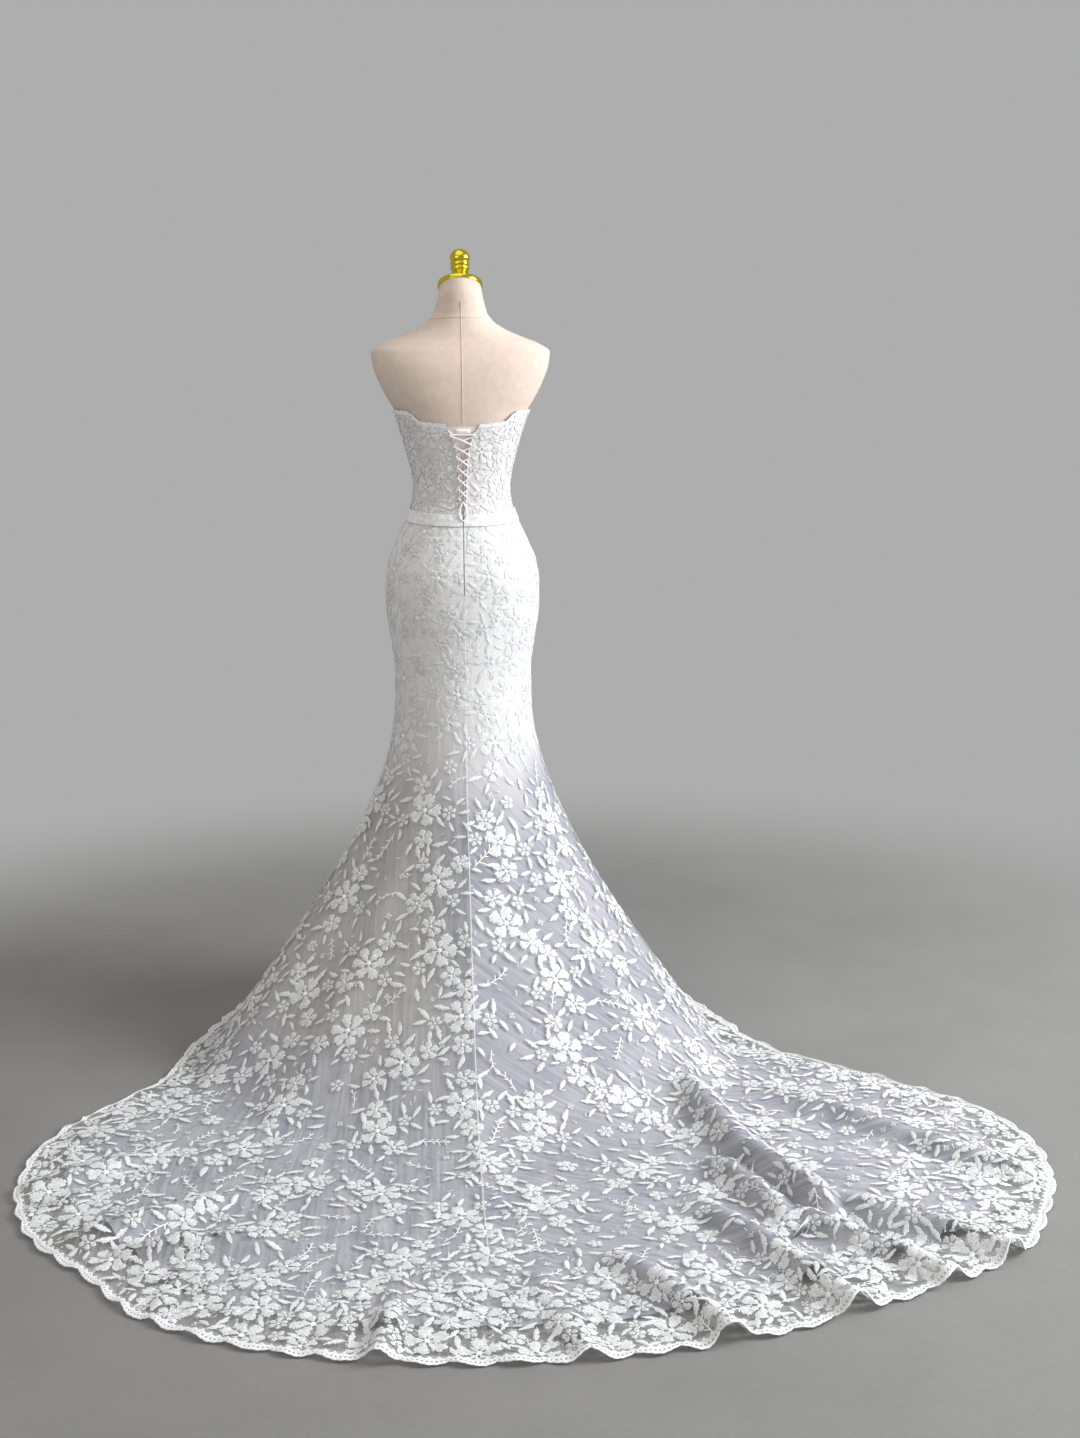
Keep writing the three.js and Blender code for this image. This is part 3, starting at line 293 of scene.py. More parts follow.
def hem_creases(points, s):
    """Creases that run in from the hem, each with its own width, height and length."""
    edge = np.linalg.norm(np.diff(points[:, -1], axis=0), axis=1)
    along_hem = np.concatenate([[0], np.cumsum(edge)])[:, None]
    steps = np.linalg.norm(np.diff(points, axis=1), axis=2)
    to_hem = np.concatenate([np.cumsum(steps[:, ::-1], axis=1)[:, ::-1], 0 * along_hem], axis=1)
    rng = np.random.default_rng(29)
    total = np.zeros(points.shape[:2])
    middle = 0.0
    while middle < along_hem[-1, 0]:
        middle += rng.uniform(45, 120)
        width, rise, inward = rng.uniform(11, 26), rng.uniform(1.5, 6.5), rng.uniform(90, 330)
        slant = rng.uniform(-0.35, 0.35)
        off = along_hem - middle - slant * to_hem
        fading = 1 - smooth(to_hem, 0.2 * inward, inward)
        crease = rise * bell(off, width * (1 + to_hem / inward)) * fading
        total = np.maximum(total, crease)
    return total * smooth(s, 1.05, 1.35)


def lining_end(turn):
    """The row at which the lining stops, short of the train's hem."""
    t = np.abs(wrap(turn))
    on_floor = along(SPREAD, "turn", "hem", wrap(turn)) - along(SPREAD, "turn", "foot", wrap(turn))
    back = np.maximum(2 - 105 / on_floor, 1.03 + 12 / on_floor)
    return np.where(t > 90, lerp(1.03, 0.965, smooth(t, 90, 120)), back)


def lace_off(turn, s):
    """How far the lace stands off the base surface: on the lining, then down to the floor."""
    on_floor = along(SPREAD, "turn", "hem", wrap(turn)) - along(SPREAD, "turn", "foot", wrap(turn))
    end = lining_end(turn)
    low = lerp(3.8, 0.3, smooth(s, end, np.minimum(end + 60 / on_floor, 2 - 17 / on_floor) + 1e-6))
    return np.where(s <= 0, LACE_OFF, lerp(LACE_OFF, low, smooth(s, 0.5, 1)))


def lining_off(s):
    hanging = LINING_OFF - 4 * smooth(s, 0.05, 0.4)
    return np.where(s <= 0, LINING_OFF, lerp(hanging, 0.4, smooth(s, 0.5, 1)))


class Cloth:
    """A sheet as a fine grid of points in metres. A place on it is a pair of grid numbers:
    i across the cloth and j down it."""

    def __init__(self, points, closed=False):
        self.points, self.closed = points, closed
        self.across, self.down = np.gradient(points, axis=0), np.gradient(points, axis=1)
        if closed:
            self.across[0] = self.across[-1] = (points[1] - points[-2]) / 2
        self.normal = unit(np.cross(self.across, self.down))
        self.size = points.shape[:2]

    def read(self, field, i, j):
        """A field of the grid between its points, carried on straight past the edges."""
        if self.closed:
            i = i % (self.size[0] - 1)
        a = np.clip(np.floor(i).astype(int), 0, self.size[0] - 2)
        b = np.clip(np.floor(j).astype(int), 0, self.size[1] - 2)
        u, v = np.clip(i - a, -2, 3)[..., None], np.clip(j - b, -2, 3)[..., None]
        top = field[a, b] * (1 - u) + field[a + 1, b] * u
        return top * (1 - v) + (field[a, b + 1] * (1 - u) + field[a + 1, b + 1] * u) * v

    def walk(self, i, j, across, down, steps=6):
        """Follows the cloth from places by distances across and down it, in metres."""
        i, j = i + 0.0 * across, j + 0.0 * across
        for _ in range(steps):
            side, fall = self.read(self.across, i, j), self.read(self.down, i, j)
            length = np.linalg.norm(fall, axis=-1)
            shear = (side * fall).sum(-1) / length
            width = np.sqrt(np.maximum((side**2).sum(-1) - shear**2, 1e-12))
            move = across / steps / width
            i = i + move
            j = j + (down / steps - move * shear) / length
        return i, j

    def lift(self, i, j, height):
        """Points at places of the cloth, raised off it."""
        normal = unit(self.read(self.normal, i, j))
        return self.read(self.points, i, j) + normal * np.asarray(height)[..., None]

    def moved(self, height):
        """The same sheet, moved out along its normals by a height for each point, in metres."""
        return Cloth(self.points + self.normal * np.asarray(height)[..., None], self.closed)

    def areas(self):
        return np.linalg.norm(np.cross(self.across, self.down), axis=-1)


def skirt_grid():
    """Turns and rows of the skirt's fine grid, with columns close where the hem is long."""
    turns = [np.array([-180.0])]
    for low, high, count in ((-180, -90, 104), (-90, 0, 330), (0, 90, 330), (90, 180, 104)):
        fine = np.linspace(low, high, 1500)
        hem = skirt_points(fine, 2 + 0 * fine, False)
        busy = np.linalg.norm(np.diff(hem, axis=0), axis=1)
        busy = np.concatenate([[0], np.cumsum(busy * (1 + 0.5 * bell(fine[1:] + 28, 20)) + 0.16)])
        turns.append(np.interp(np.linspace(0, busy[-1], count + 1)[1:], busy, fine))
    turn = np.concatenate(turns)
    body = np.linspace(-1, 0, 56)[:-1]
    fine = np.linspace(0, 2, 700)
    grid_turn, grid_s = np.meshgrid(turn, fine, indexing="ij")
    points = skirt_points(grid_turn, grid_s, False)
    length = np.cumsum(np.linalg.norm(np.diff(points, axis=1), axis=2), axis=1)
    length = np.concatenate([np.zeros((len(turn), 1)), length], axis=1)
    rows = np.stack(
        [np.interp(np.linspace(0, line[-1], 216), line, fine) for line in length]
    )
    s = np.concatenate([np.tile(body, (len(turn), 1)), rows], axis=1)
    return np.tile(turn[:, None], (1, s.shape[1])), s


def make_skirt_cloths():
    """The base of the skirt and, off it, the net, the lace's ground and the lining."""
    turn, s = skirt_grid()
    points = skirt_points(turn, s)
    rough = Cloth(points * MM, closed=True)
    base = rough.moved((ripples(points, s) + hem_creases(points, s)) * MM)
    return {
        "turn": turn,
        "s": s,
        "net": base.moved((lace_off(turn, s) + LACE_WALL / 2) * MM),
        "lace": base.moved((lace_off(turn, s) + LACE_WALL * 0.8) * MM),
        "lining": base.moved((lining_off(s) + LINING_WALL) * MM),
    }


def make_bodice_cloth():
    """The bodice's base from one edge of the laced opening round the front to the other."""
    rows = np.linspace(0, 1, 66)
    edge = lerp(along(NECKLINE, "turn", "z", 0.0), waist_z(0.0), rows)
    start = turn_at(along(OPENING, "z", "half", edge), edge)
    u = np.linspace(0, 1, 361)
    side = np.array([0, 0.25, 0.75, 1])
    turn = np.stack([np.interp(u, side, [a, 90, 270, 360 - a]) for a in start], axis=1)
    top = along(NECKLINE, "turn", "z", np.abs(wrap(turn)))
    z = lerp(top, waist_z(turn), rows[None, :])
    return turn, z, Cloth(skin(turn, z) * MM)


# Meshes


def mesh_piece(name, points, faces, material, uvs=None, body="root"):
    """A mesh object from points in metres and lists of faces with three or four corners."""
    mesh = bpy.data.meshes.new(name)
    mesh.vertices.add(len(points))
    mesh.vertices.foreach_set("co", np.ascontiguousarray(points, np.float32).ravel())
    faces = [f for f in (faces if isinstance(faces, list) else [faces]) if len(f)]
    corners = np.concatenate([f.ravel() for f in faces]).astype(np.int32)
    totals = np.concatenate([np.full(len(f), f.shape[1]) for f in faces]).astype(np.int32)
    starts = (np.cumsum(totals) - totals).astype(np.int32)
    mesh.loops.add(len(corners))
    mesh.loops.foreach_set("vertex_index", corners)
    mesh.polygons.add(len(totals))
    mesh.polygons.foreach_set("loop_start", starts)
    mesh.polygons.foreach_set("loop_total", totals)
    mesh.polygons.foreach_set("use_smooth", np.ones(len(totals), bool))
    if uvs is not None:
        layer = mesh.uv_layers.new(name="flat")
        layer.data.foreach_set("uv", np.ascontiguousarray(uvs[corners], np.float32).ravel())
    mesh.update(calc_edges=True)
    mesh.validate()
    mesh.materials.append(material)
    piece = bpy.data.objects.new(name, mesh)
    bpy.context.scene.collection.objects.link(piece)
    if body:
        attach(piece, body)
    return piece


def quads(ni, nj, ring=False):
    """Faces of a grid of points, whose rows follow each other in the list of points."""
    i, j = np.meshgrid(np.arange(ni if ring else ni - 1), np.arange(nj - 1), indexing="ij")
    nxt = (i + 1) % ni
    faces = np.stack([i * nj + j, i * nj + j + 1, nxt * nj + j + 1, nxt * nj + j], axis=-1)
    return faces.reshape(-1, 4)


def grid_piece(name, points, material, ring=False, body="root"):
    """A sheet through a grid of points, with its flat lengths as texture places."""
    ni, nj = points.shape[:2]
    across = np.linalg.norm(np.diff(points, axis=0), axis=2)
    down = np.linalg.norm(np.diff(points, axis=1), axis=2)
    u = np.concatenate([np.zeros((1, nj)), np.cumsum(across, axis=0)])
    v = np.concatenate([np.zeros((ni, 1)), np.cumsum(down, axis=1)], axis=1)
    uvs = np.stack([u, v], axis=-1).reshape(-1, 2)
    return mesh_piece(name, points.reshape(-1, 3), quads(ni, nj, ring), material, uvs, body)


def smooth_line(points, per=8, closed=False):
    """A smooth line through points, with a number of steps between each two."""
    p = np.asarray(points, float)
    if closed:
        p = np.concatenate([p[-1:], p, p[:2]])
    else:
        p = np.concatenate([2 * p[:1] - p[1:2], p, 2 * p[-1:] - p[-2:-1]])
    t = np.linspace(0, 1, per, endpoint=False)[:, None]
    parts = []
    for a, b, c, d in zip(p[:-3], p[1:-2], p[2:-1], p[3:]):
        parts.append(0.5 * (2 * b + (c - a) * t + (2 * a - 5 * b + 4 * c - d) * t**2
                            + (3 * b - a - 3 * c + d) * t**3))
    if not closed:
        parts.append(p[-2:-1])
    return np.concatenate(parts)


def tube(line, radius, sides=8, closed=False):
    """Rings of points round a line, each turned as little as can be from the one before."""
    if closed:
        step = np.roll(line, -1, axis=0) - np.roll(line, 1, axis=0)
    else:
        step = np.gradient(line, axis=0)
    heading = unit(step)
    side = unit(np.cross(heading[0], [0.3, 0.2, 1.0]))
    rings = []
    radius = np.broadcast_to(radius, (len(line),))
    angles = np.linspace(0, 2 * math.pi, sides, endpoint=False)
    for point, way, r in zip(line, heading, radius):
        side = unit(side - way * side.dot(way))
        up = np.cross(way, side)
        rings.append(point + r * (np.cos(angles)[:, None] * side + np.sin(angles)[:, None] * up))
    return np.array(rings)


def tube_faces(rings, sides, closed, first=0):
    i, j = np.meshgrid(np.arange(rings if closed else rings - 1), np.arange(sides), indexing="ij")
    nxt, over = (i + 1) % rings, (j + 1) % sides
    faces = np.stack([i * sides + j, nxt * sides + j, nxt * sides + over, i * sides + over], axis=-1)
    return faces.reshape(-1, 4) + first


def tubes_piece(name, lines, radius, material, sides=8, closed=False):
    """One object of round cords along lines of points in metres."""
    points, faces, uvs, first = [], [], [], 0
    for line in lines:
        rings = tube(line, radius, sides, closed)
        length = np.concatenate([[0], np.cumsum(np.linalg.norm(np.diff(line, axis=0), axis=1))])
        place = np.stack(np.broadcast_arrays(length[:, None], np.linspace(0, 1, sides) * 0.01), -1)
        points.append(rings.reshape(-1, 3))
        uvs.append(place.reshape(-1, 2))
        faces.append(tube_faces(len(line), sides, closed, first))
        first += len(line) * sides
    return mesh_piece(name, np.concatenate(points), np.concatenate(faces), material,
                      np.concatenate(uvs))


def turned_piece(name, profile, segments, material, place):
    """A turned solid: radius and height rows in millimetres, spun and then placed."""
    profile = np.array(profile, float)
    angle = np.linspace(0, 2 * math.pi, segments, endpoint=False)[:, None]
    x, y = profile[None, :, 0] * np.cos(angle), profile[None, :, 0] * np.sin(angle)
    points = place(np.stack([x, y, np.broadcast_to(profile[None, :, 1], x.shape)], axis=-1)) * MM
    faces = quads(segments, len(profile), ring=True)[:, ::-1]
    return mesh_piece(name, points.reshape(-1, 3), faces, material)


# Lace motifs, drawn flat in millimetres: points (across, down, height), faces, and places for
# the thread pattern, which are the share of a petal's length and of its width. A whole number
# added to the width's share tells petals, leaves, solid thread and stitched halos apart.

PETAL, LEAF, SOLID, HALO = 0, 2, 4, 6
RELIEF = 0.6


def blade(kind, length, width, belly, blunt, rows=6, cross=5, cord=0.9, fill=0.35, bend=0.0, curl=0.0):
    """A petal or leaf along +x about its middle, with a raised edge and a low domed fill."""
    t = np.concatenate([[0], np.linspace(0.09, 0.93, rows - 2), [1]])
    half = width / 2 * np.sin(np.pi * np.clip(t, 0.004, 0.996) ** belly) ** blunt
    if cross == 5:
        c, high = np.array([-1, -0.72, 0, 0.72, 1]), np.array([0, cord, fill * 1.4, cord, 0])
    else:
        c, high = np.array([-1, 0, 1]), np.array([0, cord, 0])
    ends = np.where((t == 0) | (t == 1), 0.15, 1)
    height = high[None, :] * ends[:, None]
    x = (t - 0.5)[:, None] * length + curl * length * (1 - np.abs(c))[None, :] * t[:, None] ** 2
    y = half[:, None] * c[None, :] + bend * (t[:, None] ** 2) * length
    points = np.stack([x, y, height], axis=-1).reshape(-1, 3)
    places = np.stack(np.broadcast_arrays(t[:, None], (c[None, :] + 1) / 2 + kind), axis=-1)
    return points, quads(rows, len(c))[:, ::-1], places.reshape(-1, 2)


def disc(radius, cord, sides=7, top=1.2):
    """A raised button of thread, the heart of a flower."""
    rings = ((0.02, top), (0.6, cord), (1.0, 0.0))
    angle = np.linspace(0, 2 * math.pi, sides, endpoint=False)[:, None]
    r = radius * np.array([a for a, _ in rings])[None, :]
    h = np.broadcast_to(np.array([b for _, b in rings])[None, :], (sides, len(rings)))
    points = np.stack([r * np.cos(angle), r * np.sin(angle), h], axis=-1).reshape(-1, 3)
    places = np.full((len(points), 2), SOLID + 0.5)
    return points, quads(sides, len(rings), ring=True)[:, ::-1], places


def halo(radius, sides=12):
    """A flat round patch for the loose stitches that surround a flower."""
    rings = (0.02, 0.55, 1.0)
    angle = np.linspace(0, 2 * math.pi, sides, endpoint=False)[:, None]
    share = np.broadcast_to(np.array(rings)[None, :], (sides, len(rings)))
    points = np.stack([radius * share * np.cos(angle), radius * share * np.sin(angle), 0 * share], axis=-1)
    places = np.stack([share, np.full(share.shape, HALO + 0.5)], axis=-1)
    return points.reshape(-1, 3), quads(sides, len(rings), ring=True)[:, ::-1], places.reshape(-1, 2)


def stem(line, width, cord, steps=4):
    """A corded stalk along a bent line of flat points."""
    path = smooth_line(np.array([[x, y, 0] for x, y in line]), steps)
    way = unit(np.gradient(path, axis=0))
    side = np.stack([-way[:, 1], way[:, 0], 0 * way[:, 0]], axis=-1)
    edges = [path + side * width / 2 * k + [0, 0, h] for k, h in ((-1, 0), (0, cord), (1, 0))]
    points = np.stack(edges, axis=1).reshape(-1, 3)
    return points, quads(len(path), 3)[:, ::-1], np.full((len(points), 2), SOLID + 0.5)


def placed(motif, x=0.0, y=0.0, angle=0.0, up=0.0):
    """A motif turned by an angle and put at a flat place."""
    points, faces, places = motif
    a = math.radians(angle)
    turned = np.stack([points[:, 0] * math.cos(a) - points[:, 1] * math.sin(a) + x,
                       points[:, 0] * math.sin(a) + points[:, 1] * math.cos(a) + y,
                       points[:, 2] + up], axis=-1)
    return turned, faces, places


def joined(motifs):
    first, faces = 0, []
    for points, corners, _ in motifs:
        faces.append(corners + first)
        first += len(points)
    return (np.concatenate([m[0] for m in motifs]), np.concatenate(faces),
            np.concatenate([m[2] for m in motifs]))


def polar(r, angle):
    return r * math.cos(math.radians(angle)), r * math.sin(math.radians(angle))


def flower(rng, size, rings):
    """An open flower: rings of petals as (count, middle's distance, length, width, height)."""
    parts = [placed(halo(size * (0.74 if len(rings) > 1 else 0.62)), up=0.15)]
    for count, far, length, width, up in rings:
        start = rng.uniform(0, 360)
        for k in range(count):
            angle = start + 360 / count * k + rng.uniform(-6, 6)
            long = size * length * rng.uniform(0.92, 1.08)
            shape = blade(PETAL, long, size * width, 1.45, 0.55, rows=6 if up == 0 else 5,
                          bend=rng.uniform(-0.08, 0.08), curl=-0.1)
            parts.append(placed(shape, *polar(size * far, angle), angle, up))
    parts.append(placed(disc(size * 0.07, 0.8, sides=6), up=rings[-1][-1] + 0.2))
    return joined(parts)


def leaf(rng, length):
    """A pointed leaf with a corded edge."""
    return blade(LEAF, length, length * rng.uniform(0.32, 0.4), 0.85, 0.85, bend=rng.uniform(-0.3, 0.3))


def sprig(rng, length, buds):
    """A bent stalk about its middle, with small leaves on both sides and a bud at its end."""
    bow = rng.uniform(-0.35, 0.35) * length
    line = [(-length / 2, 0), (-length * 0.15, bow * 0.5), (length * 0.2, bow * 0.7),
            (length / 2, bow * 0.4)]
    parts = [stem(line, 1.8, 0.8, steps=2)]
    path = smooth_line(np.array([[x, y, 0] for x, y in line]), buds)
    for k in range(1, buds + 1):
        spot = path[min(int(k * len(path) / (buds + 1)), len(path) - 2)]
        heading = (1 if k % 2 else -1) * rng.uniform(35, 60) + rng.uniform(-8, 8)
        long = length * rng.uniform(0.16, 0.24)
        shape = blade(SOLID, long, length * 0.09, 1.0, 0.7, rows=4, cross=3)
        x, y = polar(long / 2, heading)
        parts.append(placed(shape, spot[0] + x, spot[1] + y, heading))
    tip = blade(PETAL, length * 0.24, length * 0.17, 1.1, 0.6, rows=5)
    parts.append(placed(tip, line[-1][0], line[-1][1]))
    return joined(parts)


def bouquet(rng):
    """A spray of lace as rows of kind, place, angle and size round a large flower."""
    rows = [("rose", 0, 0, rng.uniform(0, 360), 1.0)]
    first = rng.uniform(50, 130)
    flowers = (
        (first, 62, "bloom", rng.uniform(0.9, 1.1)),
        (first + rng.uniform(150, 200), 57, "bloom", rng.uniform(0.8, 0.95)),
        (first + rng.uniform(68, 100), 54, "floret", rng.uniform(0.9, 1.15)),
        (first - rng.uniform(60, 90), 53, "floret", rng.uniform(0.9, 1.2)),
    )
    for heading, far, kind, size in flowers:
        x, y = polar(far, heading)
        rows.append((kind, x, y, rng.uniform(0, 360), size))
        for turn in (-68, 5, 64):
            way = heading + turn + rng.uniform(-12, 12)
            dx, dy = polar(LIBRARY[kind][0] * size + 15, way)
            rows.append(("leaf", x + dx, y + dy, way + rng.uniform(-25, 25), rng.uniform(0.6, 0.9)))
    for way in range(0, 360, 33):
        if min(abs(wrap(way - heading)) for heading, *_ in flowers) > 22:
            far = rng.uniform(42, 58)
            rows.append(("leaf", *polar(far, way), way + rng.uniform(-75, 75), rng.uniform(0.6, 1.0)))
    for heading, far, *_ in flowers[:2]:
        way = heading + rng.uniform(-35, 35)
        rows.append(("sprig", *polar(far + 52, way), way + rng.uniform(-20, 20), rng.uniform(0.75, 1.05)))
    for _ in range(5):
        rows.append(("bud", *polar(rng.uniform(66, 105), rng.uniform(0, 360)), rng.uniform(0, 360), 1.0))
    return rows


def motif_library():
    """The kinds of motif, each with its flat radius and a few versions."""
    rng = np.random.default_rng(5)
    full = ((6, 0.33, 0.36, 0.35, 0.0), (5, 0.18, 0.24, 0.23, 0.7))
    wide = ((5, 0.32, 0.38, 0.42, 0.0), (6, 0.17, 0.22, 0.19, 0.7))
    cupped = ((5, 0.28, 0.42, 0.4, 0.0), (4, 0.12, 0.2, 0.17, 0.6))
    simple = ((5, 0.28, 0.42, 0.36, 0.0),)
    six = ((6, 0.29, 0.4, 0.3, 0.0),)
    return {
        "rose": (37, [flower(rng, 76, rings) for rings in (full, wide, full)]),
        "bloom": (25, [flower(rng, 51, rings) for rings in (cupped, cupped, full)]),
        "floret": (16, [flower(rng, 33, rings) for rings in (simple, six, simple)]),
        "leaf": (13, [leaf(rng, n) for n in (36, 40, 44, 38)]),
        "sprig": (20, [sprig(rng, n, b) for n, b in ((54, 6), (62, 8), (48, 5), (58, 7))]),
        "bud": (6, [blade(PETAL, 12, 7.5, 1.1, 0.6, rows=4),
                    flower(rng, 15, ((4, 0.28, 0.4, 0.36, 0.0),))]),
        "dot": (2.5, [disc(1.9, 0.8, sides=5, top=0.9)]),
    }


LIBRARY = motif_library()
BOUQUETS = [bouquet(np.random.default_rng(seed)) for seed in range(40, 48)]


class Layout:
    """Motifs laid on a cloth: their kinds, places, headings and sizes."""

    def __init__(self, cloth, allowed, room, size, seed):
        self.cloth, self.allowed, self.room, self.size = cloth, allowed, room, size
        self.rng = np.random.default_rng(seed)
        self.rows = {kind: [] for kind in LIBRARY}
        self.spots, self.radii, self.owner = np.zeros((40000, 3)), np.zeros(40000), np.zeros(40000)
        self.count = 0
        weight = cloth.areas()[:-1, :-1]
        self.total = weight.sum()
        self.odds = np.cumsum(weight.ravel()) / self.total

    def candidates(self, per_area):
        """Places spread evenly over the cloth's area, where a motif may lie."""
        number = int(per_area * self.total)
        cell = np.searchsorted(self.odds, self.rng.random(number))
        i, j = np.unravel_index(np.minimum(cell, len(self.odds) - 1),
                                (self.cloth.size[0] - 1, self.cloth.size[1] - 1))
        i, j = i + self.rng.random(number), j + self.rng.random(number)
        keep = self.allowed(i, j)
        return i[keep], j[keep]

    def offer(self, kind, i, j, angle, scale, spot, apart, owner=-1):
        """Adds a motif unless one of another owner is nearer than their radii allow."""
        radius = LIBRARY[kind][0] * scale * MM
        n = self.count
        away = ((self.spots[:n] - spot) ** 2).sum(1) < (apart * (self.radii[:n] + radius)) ** 2
        if (away & ((self.owner[:n] != owner) | (owner < 0))).any():
            return
        self.spots[n], self.radii[n], self.owner[n] = spot, radius, owner
        self.count += 1
        self.rows[kind].append((i, j, angle, scale))

    def sprays(self, spacing, apart=0.72, tilt=32):
        """Lays bouquets that hang down the cloth, and drops their parts that meet others."""
        i, j = self.candidates(6000)
        spots, gap = self.cloth.lift(i, j, np.zeros(len(i))), spacing * MM * self.room(i, j)
        size = self.size(i, j)
        chosen = []
        for k in range(len(i)):
            if all(np.linalg.norm(spots[k] - spots[m]) > gap[k] for m in chosen):
                chosen.append(k)
        rows = []
        for owner, k in enumerate(chosen):
            flip, lean = self.rng.choice([-1, 1]), self.rng.normal(0, tilt)
            for kind, x, y, angle, scale in BOUQUETS[self.rng.integers(len(BOUQUETS))]:
                angle = 180 - angle if flip < 0 else angle
                far, way = math.hypot(x, y) * size[k], math.degrees(math.atan2(y, x * flip)) + lean
                rows.append((owner, kind, i[k], j[k], *polar(far, way), angle + lean, scale * size[k]))
        at = np.array([row[2:6] for row in rows])
        a, b = self.cloth.walk(at[:, 0], at[:, 1], at[:, 2] * MM, at[:, 3] * MM)
        good, spots = self.allowed(a, b), self.cloth.lift(a, b, 0 * a)
        for kinds in (("rose",), ("bloom", "floret"), ("leaf", "sprig", "bud")):
            for k, (owner, kind, *_, angle, scale) in enumerate(rows):
                if good[k] and kind in kinds:
                    self.offer(kind, a[k], b[k], angle, scale, spots[k], apart, owner)

    def fill(self, kind, per_area, apart, low=0.85, high=1.15):
        """Adds motifs of a kind wherever they keep apart from those that are there."""
        i, j = self.candidates(per_area)
        spots, apart = self.cloth.lift(i, j, 0 * i), apart * self.room(i, j)
        scale = self.rng.uniform(low, high, len(i)) * self.size(i, j)
        for k in range(len(i)):
            self.offer(kind, i[k], j[k], self.rng.uniform(0, 360), scale[k], spots[k], apart[k])

    def meshes(self, parts, inside, torn):
        """Joined points, faces and pattern places of all motifs, for each part of the cloth.
        Faces stay where all their corners are inside and that aren't torn by an opening."""
        piles = {part: ([], [], []) for part in parts}
        first = dict.fromkeys(parts, 0)
        for kind, rows in self.rows.items():
            data = np.array(rows).reshape(-1, 4)
            pick = self.rng.integers(0, len(LIBRARY[kind][1]), len(data))
            for number, (points, faces, places) in enumerate(LIBRARY[kind][1]):
                mine = data[pick == number]
                if len(mine) == 0:
                    continue
                a = np.radians(mine[:, 2])[:, None]
                x, y = (points[None, :, k] * mine[:, 3:4] * MM for k in (0, 1))
                i, j = self.cloth.walk(mine[:, 0:1], mine[:, 1:2],
                                       x * np.cos(a) - y * np.sin(a), x * np.sin(a) + y * np.cos(a))
                spots = self.cloth.lift(i, j, np.broadcast_to(points[None, :, 2] * RELIEF * MM, i.shape))
                whole = inside(i, j)
                for part, test in parts.items():
                    for k in np.nonzero(test(mine[:, 0], mine[:, 1]))[0]:
                        good = faces[whole[k][faces].all(axis=1) & ~torn(spots[k][faces])]
                        piles[part][0].append(spots[k])
                        piles[part][1].append(good[:, ::-1] + first[part])
                        piles[part][2].append(places)
                        first[part] += len(points)
        out = {}
        for part, pile in piles.items():
            points, faces, places = (np.concatenate(p) for p in pile)
            used, index = np.unique(faces), np.zeros(len(points), int)
            index[used] = np.arange(len(used))
            out[part] = points[used], index[faces], places[used]
        return out


# Materials


class Signal:
    """A value on its way through a material, which can be reckoned with like a number."""

    def __init__(self, paint, socket):
        self.paint, self.socket = paint, socket

    def reckon(self, operation, *values):
        return self.paint.node("ShaderNodeMath", {"operation": operation}, dict(enumerate(values)))

    def __add__(self, other):
        return self.reckon("ADD", self, other)

    def __sub__(self, other):
        return self.reckon("SUBTRACT", self, other)

    def __rsub__(self, other):
        return self.reckon("SUBTRACT", other, self)

    def __mul__(self, other):
        return self.reckon("MULTIPLY", self, other)

    __radd__ = __add__
    __rmul__ = __mul__

    def least(self, other):
        return self.reckon("MINIMUM", self, other)

    def most(self, other):
        return self.reckon("MAXIMUM", self, other)

    def above(self, limit):
        return self.reckon("GREATER_THAN", self, limit)

    def size(self):
        return self.reckon("ABSOLUTE", self)

    def floor(self):
        return self.reckon("FLOOR", self)

    def part(self):
        return self.reckon("FRACT", self)

    def waves(self, count):
        """Rises from 0 to 1 and back so many times while this value goes from 0 to 1."""
        return self.reckon("SINE", self * (math.pi * count)).size()


